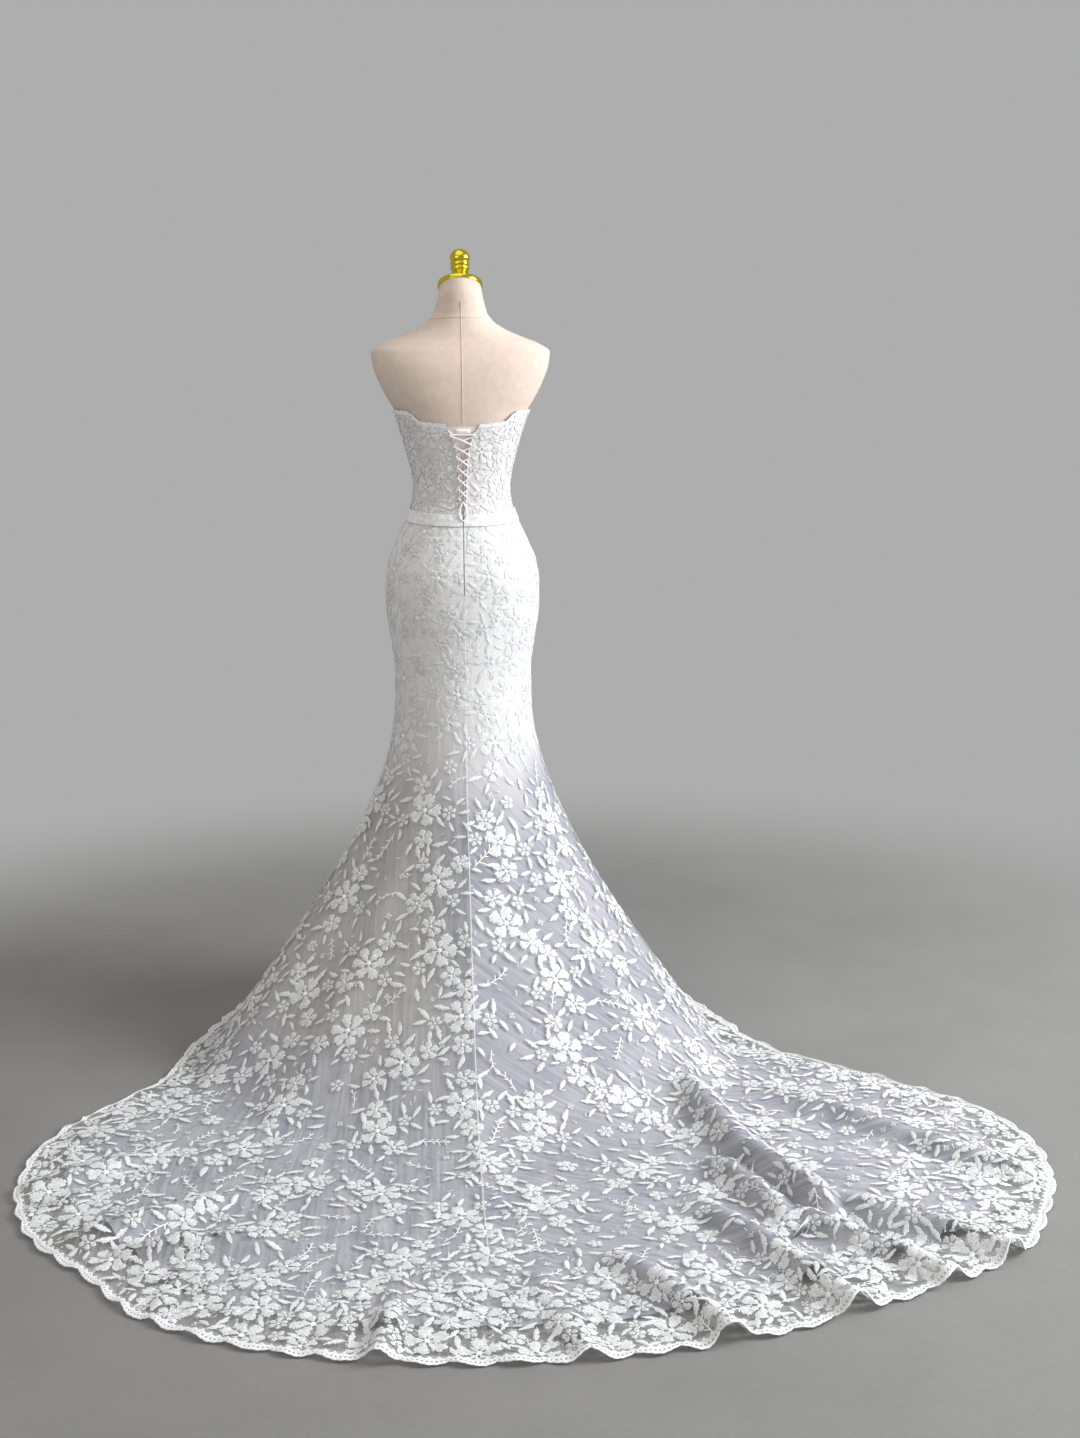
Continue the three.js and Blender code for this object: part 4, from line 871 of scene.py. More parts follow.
class Paint:
    """A material under construction, round one principled shader."""

    def __init__(self, name, **fixed):
        self.material = bpy.data.materials.new(name)
        self.material.use_nodes = True
        self.tree = self.material.node_tree
        self.tree.nodes.clear()
        self.end = self.tree.nodes.new("ShaderNodeOutputMaterial")
        self.shader = self.tree.nodes.new("ShaderNodeBsdfPrincipled")
        self.tree.links.new(self.shader.outputs[0], self.end.inputs[0])
        self.feed(**fixed)

    def feed(self, **sockets):
        """Sets or links the shader's sockets, named in lower case with underscores."""
        for key, value in sockets.items():
            self.join(self.shader.inputs[key.replace("_", " ").title().replace("Ior", "IOR")], value)

    def join(self, socket, value):
        if isinstance(value, Signal):
            self.tree.links.new(value.socket, socket)
        elif hasattr(value, "__len__") and len(value) == 3 and socket.type == "RGBA":
            socket.default_value = (*value, 1)
        else:
            socket.default_value = value

    def node(self, kind, settings=None, values=None, out=0):
        """Adds a node: its settings first, then the values or links of its sockets."""
        node = self.tree.nodes.new(kind)
        for key, value in (settings or {}).items():
            if key == "stops":
                while len(node.color_ramp.elements) < len(value):
                    node.color_ramp.elements.new(0.5)
                for element, (position, colour) in zip(node.color_ramp.elements, value):
                    element.position, element.color = position, (*colour, 1)
            else:
                setattr(node, key, value)
        for key, value in (values or {}).items():
            self.join(node.inputs[key], value)
        return Signal(self, node.outputs[out])

    def place(self, flat=False):
        return self.node("ShaderNodeTexCoord", out="UV" if flat else "Object")

    def apart(self, vector):
        """The three parts of a vector."""
        node = self.node("ShaderNodeSeparateXYZ", None, {0: vector}).socket.node
        return [Signal(self, socket) for socket in node.outputs]

    def stretched(self, vector, scale):
        return self.node("ShaderNodeVectorMath", {"operation": "MULTIPLY"}, {0: vector, 1: scale})

    def noise(self, scale, detail=2.0, rough=0.5, at=None):
        values = {"Vector": at or self.place(), "Scale": scale, "Detail": detail, "Roughness": rough}
        return self.node("ShaderNodeTexNoise", None, values)

    def mix(self, share, a, b):
        """Mixes two colours by a value."""
        return self.node("ShaderNodeMix", {"data_type": "RGBA"}, {0: share, 6: a, 7: b}, out=2)

    def bump(self, height, strength, distance):
        values = {"Height": height, "Strength": strength, "Distance": distance}
        self.feed(normal=self.node("ShaderNodeBump", None, values))

    def ramp(self, value, low, high):
        """A value stretched so that low becomes 0 and high becomes 1."""
        values = {"Value": value, "From Min": low, "From Max": high}
        return self.node("ShaderNodeMapRange", {"interpolation_type": "SMOOTHSTEP"}, values)


def scaled(colour, k):
    return tuple(min(c * k, 1.0) for c in colour)


def paint_lace(name, colours, grain, shade):
    """White thread worked close, with fine stitches and a soft sheen."""
    paint = Paint(name, roughness=0.72, sheen_weight=0.25, sheen_roughness=0.4,
                  specular_ior_level=0.35)
    fine = paint.noise(900, 2, 0.6)
    base = tuple(colours.lace)
    tone = paint.ramp(paint.noise(grain, 3) + fine * 0.3, 0.45, 0.85)
    paint.feed(base_color=paint.mix(tone, scaled(base, shade), base))
    stitch = paint.node("ShaderNodeTexWave", {"wave_type": "BANDS", "bands_direction": "DIAGONAL"},
                        {"Vector": paint.place(), "Scale": 260, "Distortion": 7, "Detail": 2})
    paint.bump(stitch * 0.6 + fine * 0.8, 0.5, 0.0006)
    return paint.material


def paint_motif(name, colours, fill):
    """Lace petals and leaves: scalloped corded edges and ribs round an open thread filling."""
    paint = Paint(name, roughness=0.72, sheen_weight=0.25, sheen_roughness=0.4, specular_ior_level=0.35)
    u, v, _ = paint.apart(paint.place(flat=True))
    kind = (v * 0.5).floor()
    side = ((v - kind * 2) * 2 - 1).size()
    leaf, solid = kind.above(0.5), kind.above(1.5)
    rag = paint.noise(260, 3, 0.7)
    edge = (1 - u.waves(6) * 0.1 - side).least((1 - u) * 2.2 - side.waves(2) * 0.07)
    edge = edge - paint.ramp(rag, 0.38, 0.68) * 0.42
    cord = 1 - paint.ramp(edge, 0.15, 0.25)
    ribs = paint.ramp(v.waves(7), 0.82, 0.97) * paint.ramp(u, 0.12, 0.35) * (1 - paint.ramp(u, 0.6, 0.78))
    veins = paint.ramp((u - side * 0.22).waves(7), 0.8, 0.95).most(1 - paint.ramp(side, 0.07, 0.15))
    ribs = ribs * (1 - leaf) + veins * leaf
    cells = paint.node("ShaderNodeTexVoronoi", {"feature": "DISTANCE_TO_EDGE"},
                       {"Vector": paint.place(), "Scale": 430, "Randomness": 0.6})
    threads = 1 - paint.ramp(cells, 0.04, 0.2)
    raised = cord.most(ribs).most(solid)
    worked = raised.most(threads * 0.5 + fill)
    patch = kind.above(2.5)
    speckle = paint.noise(330, 4, 0.75)
    stitched = paint.ramp(speckle - paint.ramp(u, 0.5, 1.0) * 0.2, 0.48, 0.6)
    stitched = stitched * (1 - paint.ramp(u, 0.85, 1.0))
    paint.feed(alpha=worked * edge.above(0).most(solid) * (1 - patch) + stitched * patch * 0.5)
    base = tuple(colours.lace)
    paint.feed(base_color=paint.mix(raised, scaled(base, 0.93), base))
    twist = paint.noise(1100, 1)
    paint.bump(raised + twist * 0.4 + threads * 0.3, 0.7, 0.0007)
    return paint.material


def paint_net(name, colours, low, high):
    """Fine net with a grain down the cloth, open below the knee and closer worked above it."""
    paint = Paint(name, roughness=0.8, base_color=tuple(colours.lace))
    cells = paint.node("ShaderNodeTexVoronoi", {"feature": "DISTANCE_TO_EDGE"},
                       {"Vector": paint.place(), "Scale": 420, "Randomness": 0.35})
    thread = 1 - paint.ramp(cells, 0.03, 0.12)
    grain = paint.noise(1, 3, 0.65, at=paint.stretched(paint.place(flat=True), (150, 7, 1)))
    height = paint.apart(paint.place())[2]
    ground = paint.ramp(height + grain * 0.12, 0.56, 0.9) * (high - low) + low
    paint.feed(alpha=thread * 0.14 + paint.ramp(grain, 0.45, 0.72) * 0.15 + ground)
    return paint.material


def paint_border(colours):
    """The worked edge of the hem: a corded rim, eyelets under it and net inside."""
    paint = Paint("lace_border", roughness=0.72, sheen_weight=0.25, base_color=tuple(colours.lace))
    u, v, _ = paint.apart(paint.place(flat=True))
    across, up = (u * 10).part() - 0.5, (v - 0.66) * 2.6
    ring = paint.node("ShaderNodeMath", {"operation": "SQRT"}, {0: across * across + up * up})
    rim = paint.ramp(v, 0.86, 0.9)
    eyelet = 1 - paint.ramp((ring - 0.36).size(), 0.06, 0.12)
    arch = (u * 5).waves(1) * 0.3
    lobe = 1 - paint.ramp((v - 0.1 - arch).size(), 0.04, 0.08)
    raised = rim.most(eyelet).most(lobe)
    worked = paint.ramp(v - arch, 0.05, 0.12) * (0.55 - (0.34 - ring).above(0) * 0.45)
    cells = paint.node("ShaderNodeTexVoronoi", {"feature": "DISTANCE_TO_EDGE"},
                       {"Vector": paint.place(), "Scale": 480, "Randomness": 0.4})
    threads = 1 - paint.ramp(cells, 0.04, 0.14)
    paint.feed(alpha=raised.most(worked + threads * 0.3 + 0.12))
    paint.bump(raised + threads * 0.3, 0.6, 0.0009)
    return paint.material


def paint_lining(colours):
    """Smooth satin that turns from a skin tint at the hips to a cool grey white below, with painted light:
    lighter and warmer on the skirt's left than on its right, and streaks of painted sheen down it.
    """
    paint = Paint("lining_satin", roughness=0.55, sheen_weight=0.08, specular_ior_level=0.22)
    across, _, height = paint.apart(paint.place())
    drift = paint.noise(9, 2)
    low = paint.ramp(height + drift * 0.14, 0.54, 0.9)
    # Painted sheen: streaks along the cloth, mixed with a random drift, lighten the lining towards the hip
    # tint.
    painted_sheen_streak = paint.noise(1, 3, 0.6, at=paint.stretched(paint.place(flat=True), (70, 4, 1)))
    tone = paint.ramp(painted_sheen_streak * 0.6 + drift * 0.4, 0.3, 0.7)
    # Painted light: above 0.2 m the lining turns lighter and warmer towards the skirt's left (+x, away from
    # the key), as if lit by warm room light, and stays cool and dark on the window side.
    painted_light_side = paint.ramp(across, -0.03, 0.12) * paint.ramp(height, 0.0, 0.2)
    turned = paint.mix(painted_light_side, tuple(colours.lining), tuple(colours.lining_painted_light))
    cloud = paint.mix(tone * 0.3, turned, tuple(colours.hip))
    paint.feed(base_color=paint.mix(low, cloud, tuple(colours.hip)))
    weave = paint.node("ShaderNodeTexWave", {"wave_type": "BANDS"},
                       {"Vector": paint.place(), "Scale": 700, "Distortion": 1.5})
    paint.bump(weave * 0.1 + paint.noise(14, 3) * 1.2, 0.25, 0.004)
    return paint.material


def paint_satin(name, colour, rough=0.4):
    paint = Paint(name, roughness=rough, sheen_weight=0.3, specular_ior_level=0.5)
    cloud = paint.noise(45, 2)
    paint.feed(base_color=paint.mix(cloud, scaled(colour, 0.88), tuple(colour)))
    weave = paint.node("ShaderNodeTexWave", {"wave_type": "BANDS", "bands_direction": "Z"},
                       {"Vector": paint.place(), "Scale": 900, "Distortion": 2})
    paint.bump(weave * 0.25 + paint.noise(120, 2), 0.2, 0.0006)
    return paint.material


def paint_cord(colours):
    """Satin cord with a slanting twist; its grooves carry painted shade."""
    paint = Paint("satin_cord", roughness=0.45, sheen_weight=0.35)
    twist = paint.node("ShaderNodeTexWave", {"wave_type": "BANDS", "bands_direction": "DIAGONAL"},
                       {"Vector": paint.place(flat=True), "Scale": 190, "Distortion": 0.4})
    colour = tuple(colours.satin)
    # Painted shade: the colour darkens where the twist's bands are low, in the grooves between strands.
    paint.feed(base_color=paint.mix(twist, scaled(colour, 0.84), colour))
    paint.bump(twist, 0.5, 0.0005)
    return paint.material


def paint_linen(colours):
    """Plain woven linen with slubs, pulled tight over the form."""
    paint = Paint("linen_cover", roughness=0.88, sheen_weight=0.15, specular_ior_level=0.25)
    spot = paint.place()
    warp = paint.node("ShaderNodeTexWave", {"wave_type": "BANDS", "bands_direction": "Z"},
                      {"Vector": spot, "Scale": 420, "Distortion": 1.6, "Detail": 2})
    weft = paint.node("ShaderNodeTexWave", {"wave_type": "BANDS", "bands_direction": "X"},
                      {"Vector": spot, "Scale": 420, "Distortion": 1.6, "Detail": 2})
    slub = paint.noise(70, 4, 0.6)
    tone = paint.ramp(slub * 0.8 + (warp + weft) * 0.2, 0.35, 0.85)
    paint.feed(base_color=paint.mix(tone, scaled(colours.linen, 0.86), tuple(colours.linen)))
    paint.bump((warp + weft) * 0.5 + slub * 0.4, 0.35, 0.0006)
    return paint.material


def paint_metal(name, colour, rough, metallic):
    paint = Paint(name, metallic=metallic)
    wear = paint.noise(30, 4)
    paint.feed(base_color=paint.mix(wear, scaled(colour, 0.82), tuple(colour)),
               roughness=wear * 0.12 + rough)
    paint.bump(paint.noise(240, 3), 0.06, 0.0004)
    return paint.material


# Settings that a user would change


class GownSizes(bpy.types.PropertyGroup):
    """Sizes of the lace and trims."""

    fill_share: bpy.props.FloatProperty(
        name="Lace density", description="How closely the motifs lie, 1 as in the sample gown",
        default=1.0, min=0.5, max=1.5, subtype="FACTOR")
    cord_radius: bpy.props.FloatProperty(
        name="Lacing cord radius", description="Radius of the cord that laces the back",
        default=0.0018, min=0.0005, max=0.003, unit="LENGTH")
    edge_cord: bpy.props.FloatProperty(
        name="Edge cord", description="Height of the corded edge along hem and neckline",
        default=0.0016, min=0.0005, max=0.003, unit="LENGTH")


def colour_setting(name, words, value):
    return bpy.props.FloatVectorProperty(name=name, description=words, default=value, size=3,
                                         min=0, max=1, subtype="COLOR")


class GownColours(bpy.types.PropertyGroup):
    """Colours of the cloths and of the form."""

    lace: colour_setting("Lace", "Thread of the lace and its net", (0.90, 0.895, 0.885))
    # The lining is one satin: the cool dark tone on the skirt's right and the lighter warm tone on its left
    # are lit copies of it, painted light from the cool window and the warm room.
    lining: colour_setting("Lining", "Satin lining of the skirt's right", (0.185, 0.195, 0.24))
    lining_painted_light: colour_setting("Lining, left", "Satin lining of the skirt's left", (0.31, 0.298, 0.285))
    hip: colour_setting("Hip lining", "Lining over the hips", (0.80, 0.735, 0.72))
    nude: colour_setting("Nude", "Lining of the bodice", (0.80, 0.69, 0.65))
    satin: colour_setting("Satin", "Loops and lacing cord", (0.93, 0.895, 0.87))
    linen: colour_setting("Linen", "Cover of the dress form", (0.72, 0.585, 0.49))
    gold: colour_setting("Gold", "Neck cap and finial", (0.78, 0.64, 0.05))
    steel: colour_setting("Steel", "Pole and base plate", (0.42, 0.42, 0.41))


class StudioSettings(bpy.types.PropertyGroup):
    """The studio round the gown."""

    wall: colour_setting("Wall", "Tone of the studio's backdrop", (0.42, 0.42, 0.42))
    floor: colour_setting("Floor", "Tone of the studio's floor", (0.225, 0.218, 0.206))
    key_power: bpy.props.FloatProperty(
        name="Key light", description="Power of the soft light from the gown's right",
        default=262.0, min=0, max=2000, unit="POWER")
    fill_power: bpy.props.FloatProperty(
        name="Fill light", description="Power of the soft light from above",
        default=26.0, min=0, max=2000, unit="POWER")


MATERIALS = {}


def materials():
    """The gown's materials, made once from the colours that are set."""
    if MATERIALS:
        return MATERIALS
    c = bpy.context.scene.gown_colours
    MATERIALS.update(
        lace=paint_lace("lace_thread", c, 28, 0.9),
        band=paint_lace("band_lace", c, 170, 0.72),
        motif=paint_motif("lace_motif", c, 0.45),
        close=paint_motif("lace_motif_close", c, 0.78), border=paint_border(c),
        net=paint_net("skirt_net", c, 0.05, 0.6), ground=paint_net("bodice_net", c, 0.38, 0.38),
        lining=paint_lining(c),
        nude=paint_satin("nude_satin", c.nude, 0.5), satin=paint_satin("white_satin", c.satin),
        # Painted shade: the zip is white satin, coloured at under half its white to stand for the shade in
        # the slit.
        zip=paint_satin("zip_satin_painted_shade", scaled(c.satin, 0.45)), cord=paint_cord(c),
        linen=paint_linen(c), gold=paint_metal("gold_plate", c.gold, 0.1, 1.0),
        steel=paint_metal("painted_steel", c.steel, 0.35, 0.6),
    )
    return MATERIALS


SHEETS = {}


def sheets():
    """The fine grids of the skirt and the bodice, reckoned once."""
    if not SHEETS:
        SHEETS["skirt"] = make_skirt_cloths()
        turn, z, base = make_bodice_cloth()
        SHEETS["bodice"] = {
            "turn": turn, "z": z, "base": base,
            "net": base.moved(np.full(turn.shape, (LACE_OFF + 0.6) * MM)),
            "lace": base.moved(np.full(turn.shape, (LACE_OFF + 1.0) * MM)),
            "lining": base.moved(np.full(turn.shape, (LINING_OFF + LINING_WALL) * MM)),
        }
    return SHEETS


def skirt_panels():
    """The skirt's three panels as runs of grid columns."""
    turn = sheets()["skirt"]["turn"][:, 0]
    left, right = int(np.argmin(np.abs(turn - 90))), int(np.argmin(np.abs(turn + 90)))
    middle, last = int(np.argmin(np.abs(turn))), len(turn) - 1
    front = np.concatenate([np.arange(left, last), np.arange(0, right + 1)])
    return {"front": front, "back_left": np.arange(middle, left + 1),
            "back_right": np.arange(right, middle + 1)}


def thinned(indices, step):
    """Every step-th index, with both ends kept."""
    kept = indices[::step]
    return kept if kept[-1] == indices[-1] else np.append(kept, indices[-1])


class GOWN_OT_camera(bpy.types.Operator):
    """Puts the camera behind the gown at eye height"""

    bl_idname = "gown.camera"
    bl_label = "Camera"

    def execute(self, context):
        data = bpy.data.cameras.new("camera")
        data.lens = 1900 / 1438 * 36
        camera = bpy.data.objects.new("camera", data)
        camera.location = (0.1153, 4.0017, 1.5)
        camera.rotation_euler = (math.radians(90 - 11.715), 0, math.radians(176))
        context.scene.collection.objects.link(camera)
        context.scene.camera = camera
        return {"FINISHED"}


class GOWN_OT_stage(bpy.types.Operator):
    """Adds a plain floor that fades into the backdrop, and soft lights"""

    bl_idname = "gown.stage"
    bl_label = "Studio"

    def execute(self, context):
        studio = context.scene.gown_studio
        paint = Paint("studio_floor", roughness=0.75)
        grain = paint.noise(3, 5, 0.6)
        speckle = paint.noise(90, 4, 0.65)
        tone = paint.ramp(grain * 0.6 + speckle * 0.4, 0.3, 0.7)
        paint.feed(base_color=paint.mix(tone, scaled(studio.floor, 0.86), tuple(studio.floor)))
        paint.bump(speckle, 0.2, 0.002)
        glow = paint.tree.nodes.new("ShaderNodeEmission")
        glow.inputs[0].default_value = (*studio.wall, 1)
        away = paint.node("ShaderNodeVectorMath", {"operation": "SUBTRACT"},
                          {0: paint.place(), 1: (-0.1, 0.5, 0)})
        reach = paint.node("ShaderNodeVectorMath", {"operation": "LENGTH"}, {0: away}, out=1)
        blend = paint.tree.nodes.new("ShaderNodeMixShader")
        paint.join(blend.inputs[0], paint.ramp(reach, 1.35, 2.7))
        paint.tree.links.new(paint.shader.outputs[0], blend.inputs[1])
        paint.tree.links.new(glow.outputs[0], blend.inputs[2])
        paint.tree.links.new(blend.outputs[0], paint.end.inputs[0])
        radii = np.concatenate([[0.01], np.linspace(0.5, 5, 10), [12, 40]])
        angle = np.linspace(0, 2 * math.pi, 96, endpoint=False)[:, None]
        x, y = radii[None, :] * np.cos(angle), radii[None, :] * np.sin(angle)
        points = np.stack([x, y, 0 * x], axis=-1).reshape(-1, 3)
        floor = mesh_piece("studio_floor", points, quads(96, len(radii), ring=True)[:, ::-1],
                           paint.material, body=None)
        world = bpy.data.worlds.new("studio")
        context.scene.world = world
        world.use_nodes = True
        world.node_tree.nodes["Background"].inputs[0].default_value = (*studio.wall, 1)
        self.light("key", (-3.5, 1.2, 2.5), (0, 0.45, 0.6), 2.2, studio.key_power, (0.91, 0.955, 1.0))
        self.light("top", (0.4, 0.8, 4.2), (0, 0.3, 0.6), 3.0, studio.fill_power, (1.0, 0.99, 0.97))
        self.light("side", (2.6, 3.4, 2.4), (0, 0.5, 0.5), 2.6, studio.fill_power, (1.0, 0.97, 0.94))
        context.scene.view_settings.view_transform = "Standard"
        return {"FINISHED"}

    def light(self, name, spot, target, size, power, colour):
        data = bpy.data.lights.new(name, "AREA")
        data.size, data.energy, data.color = size, power, colour
        lamp = bpy.data.objects.new(name, data)
        lamp.location = spot
        way = Vector(target) - Vector(spot)
        lamp.rotation_euler = way.to_track_quat("-Z", "Y").to_euler()
        bpy.context.scene.collection.objects.link(lamp)


class GOWN_OT_form(bpy.types.Operator):
    """Builds the linen torso with its seams, the neck cap and the finial, and paints the stand steel"""

    bl_idname = "gown.form"
    bl_label = "Dress form"

    def execute(self, context):
        paint = materials()
        turns = np.linspace(0, 360, 144, endpoint=False)
        levels = np.concatenate([np.linspace(FORM_BOTTOM_Z, 1420, 90)[:-1], np.linspace(1420, 1530, 48)])
        rings = [skin(turns, z, FORM_CUP_RISE) for z in levels]
        for half, z, slant in ((NECK_HALF, NECK_Z, NECK_LOW_SLANT), (NECK_TOP_HALF, NECK_TOP_Z, NECK_SLANT),
                               (2, NECK_TOP_Z, NECK_SLANT)):
            x, y = half * np.sin(np.radians(turns)), half * np.cos(np.radians(turns))
            rings.append(np.stack([x, y, z + y * math.tan(math.radians(slant))], axis=-1))
        rings.insert(0, rings[0] * [0.02, 0.02, 1])
        points = np.stack(rings, axis=1) * MM
        torso = mesh_piece("form_torso_cover", points.reshape(-1, 3),
                           quads(len(turns), len(rings), ring=True)[:, ::-1], paint["linen"])
        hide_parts("form_torso")
        lines = []
        z = np.linspace(1305, 1546, 60)
        for turn in (0, 180):
            lines.append(off_form(np.full(60, turn), z))
        around = np.linspace(0, 360, 90)
        lines.append(off_form(around, 1510 + 6 * np.cos(np.radians(around))))
        for turn in (90, 270):
            z = np.linspace(1330, 1500, 40)
            lines.append(off_form(np.full(40, turn), z))
        seams = tubes_piece("form_seams", [line * MM for line in lines], 0.0009, paint["linen"], sides=6)
        self.cap(paint)
        for name in ("base_plate", "form_pole"):
            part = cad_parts[name]
            part.data.materials.clear()
            part.data.materials.append(paint["steel"])
        return {"FINISHED"}

    def cap(self, paint):
        slant = math.radians(NECK_SLANT)

        def slanted(points):
            x, y, z = points[..., 0], points[..., 1], points[..., 2]
            return np.stack([x, y * math.cos(slant) - z * math.sin(slant),
                             y * math.sin(slant) + z * math.cos(slant) + NECK_TOP_Z + 0.35], axis=-1)

        rim = [(0.5, 0), (43.5, 0), (45.1, 0.5), (46.2, 1.6), (46.5, 3), (46.5, 9), (46, 10.6),
               (44.7, 11.6), (42.5, 12), (30, 12), (20, 12), (0.5, 12)]
        cap = turned_piece("neck_cap_plate", rim, 96, paint["gold"], slanted)
        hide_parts("neck_cap")
        top = NECK_TOP_Z + 0.7 + 12 / math.cos(slant)

        def leaning(points):
            y, z = points[..., 1], points[..., 2]
            lean = np.clip(1 - z / 12, 0, 1) * y * math.tan(slant)
            return np.stack([points[..., 0], y, z + lean + top], axis=-1)

        profile = smooth_line(np.array([
            (16, 0, 0), (16.8, 10, 0), (18.2, 20, 0), (19.8, 25, 0), (19.8, 29, 0), (18.4, 31.2, 0),
            (19.7, 34, 0), (19.8, 37.5, 0), (18.5, 40, 0), (20.3, 43, 0), (21, 47, 0), (20.4, 51, 0),
            (18.1, 55.5, 0), (14.6, 59.5, 0), (10.2, 62.6, 0), (5.2, 64.5, 0), (0.3, 65, 0)]), 3)[:, :2]
        finial = turned_piece("finial_knob", profile, 64, paint["gold"], leaning)
        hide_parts("finial")


def off_form(turn, z):
    """Points just off the form's own skin."""
    inner = skin(turn, z, FORM_CUP_RISE)
    out = unit(inner * [1, 1, 0])
    return inner + out * 0.1


class GOWN_OT_skirt_cloth(bpy.types.Operator):
    """Builds the net and the lining of the skirt's three panels"""

    bl_idname = "gown.skirt_cloth"
    bl_label = "Skirt net and lining"

    def execute(self, context):
        paint, skirt = materials(), sheets()["skirt"]
        for name, run in skirt_panels().items():
            kept = thinned(run, 2 if name == "front" else 1)
            net = self.sheet(skirt, skirt["net"], kept, 2 - 13 / self.floor(skirt, kept), 100)
            piece = grid_piece(f"skirt_net_{name}", net, paint["net"])
            train = [name.replace("back", "train")] if name != "front" else []
            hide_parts(f"skirt_{name}", *train)
            kept = thinned(run, 2)
            lining = self.sheet(skirt, skirt["lining"], kept, lining_end(skirt["turn"][kept, 0]), 86)
            under = grid_piece(f"skirt_lining_{name}", lining, paint["lining"])
            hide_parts(f"lining_{name}")
        return {"FINISHED"}

    def floor(self, skirt, run):
        """How much of the cloth lies on the floor, for each column."""
        turn = wrap(skirt["turn"][run, 0])
        return along(SPREAD, "turn", "hem", turn) - along(SPREAD, "turn", "foot", turn)

    def sheet(self, skirt, cloth, run, end, rows):
        """A layer's points in a run of columns, down to where it ends in each."""
        s = skirt["s"][run]
        last = np.array([np.interp(e, line, np.arange(len(line))) for e, line in zip(end, s)])
        i = np.repeat(run[:, None], rows, axis=1).astype(float)
        points = cloth.read(cloth.points, i, last[:, None] * np.linspace(0, 1, rows)[None, :])
        return self.opened(points, run)

    def opened(self, points, run):
        """Draws the edges at the centre back apart down to the end of the zip."""
        turn = sheets()["skirt"]["turn"][run, 0]
        for k in (0, -1):
            if abs(turn[k]) < 1e-6:
                high = smooth(points[k, :, 2], 0.94, 0.96)
                points[k, :, 0] += (0.0009 if k == 0 else -0.0009) * high
        return points


class GOWN_OT_skirt_lace(bpy.types.Operator):
    """Lays lace motifs over the skirt: close at the hips, open on the flare, close at the hem"""

    bl_idname = "gown.skirt_lace"
    bl_label = "Skirt lace"

    def execute(self, context):
        skirt = sheets()["skirt"]
        cloth = skirt["lace"]
        density = context.scene.gown_sizes.fill_share
        field = skirt["s"][..., None]
        length = np.linalg.norm(cloth.down, axis=-1)[..., None]
        last = cloth.size[1] - 1

        def hem_room(i, j):
            return (last - j) * cloth.read(length, i, j)[..., 0]

        def allowed(i, j):
            return (j > 1) & (hem_room(i, j) > 0.021)

        def inside(i, j):
            spot = cloth.read(cloth.points, i, j)
            slit = (np.abs(spot[..., 0]) < 0.0011) & (spot[..., 2] > 0.95) & (spot[..., 1] > 0)
            return (j >= 0.2) & (hem_room(i, j) > HEM_WIDTH * MM * 0.8) & ~slit

        def torn(corners):
            x, y, z = corners[..., 0], corners[..., 1], corners[..., 2]
            across = (x.min(axis=1) < 0) & (x.max(axis=1) > 0)
            return across & (y.min(axis=1) > 0) & (z.max(axis=1) > ZIP_BOTTOM_Z * MM)

        def room(i, j):
            s = cloth.read(field, i, j)[..., 0]
            near_hem = 1 - smooth(hem_room(i, j), 0.08, 0.42)
            return lerp(lerp(0.6, 0.98, smooth(s, -0.3, 0.4)), 0.52, near_hem) / density

        def size(i, j):
            return lerp(0.82, 1.0, smooth(cloth.read(field, i, j)[..., 0], -0.8, 0.2))

        lay = Layout(cloth, allowed, room, size, 21)
        lay.sprays(148)
        lay.fill("bloom", 300, 1.25)
        lay.fill("floret", 500, 1.2)
        lay.fill("sprig", 700, 1.15)
        lay.fill("leaf", 1100, 1.35, 0.7, 1.0)
        lay.fill("bud", 1200, 1.4)
        lay.fill("dot", 1200, 2.4)
        panels = skirt_panels()
        left, right, middle = panels["back_left"][-1], panels["back_right"][0], panels["back_left"][0]
        round_trip = cloth.size[0] - 1

        def is_low(i, j):
            return cloth.read(field, i, j)[..., 0] > 1

        parts = {
            "front": lambda i, j: (i % round_trip >= left) | (i % round_trip < right),
            "back_left": lambda i, j: (i >= middle) & (i < left) & ~is_low(i, j),
            "train_left": lambda i, j: (i >= middle) & (i < left) & is_low(i, j),
            "back_right": lambda i, j: (i >= right) & (i < middle) & ~is_low(i, j),
            "train_right": lambda i, j: (i >= right) & (i < middle) & is_low(i, j),
        }
        for name, (points, faces, places) in lay.meshes(parts, inside, torn).items():
            piece = mesh_piece(f"skirt_lace_{name}", points, faces, materials()["motif"], places)
        return {"FINISHED"}


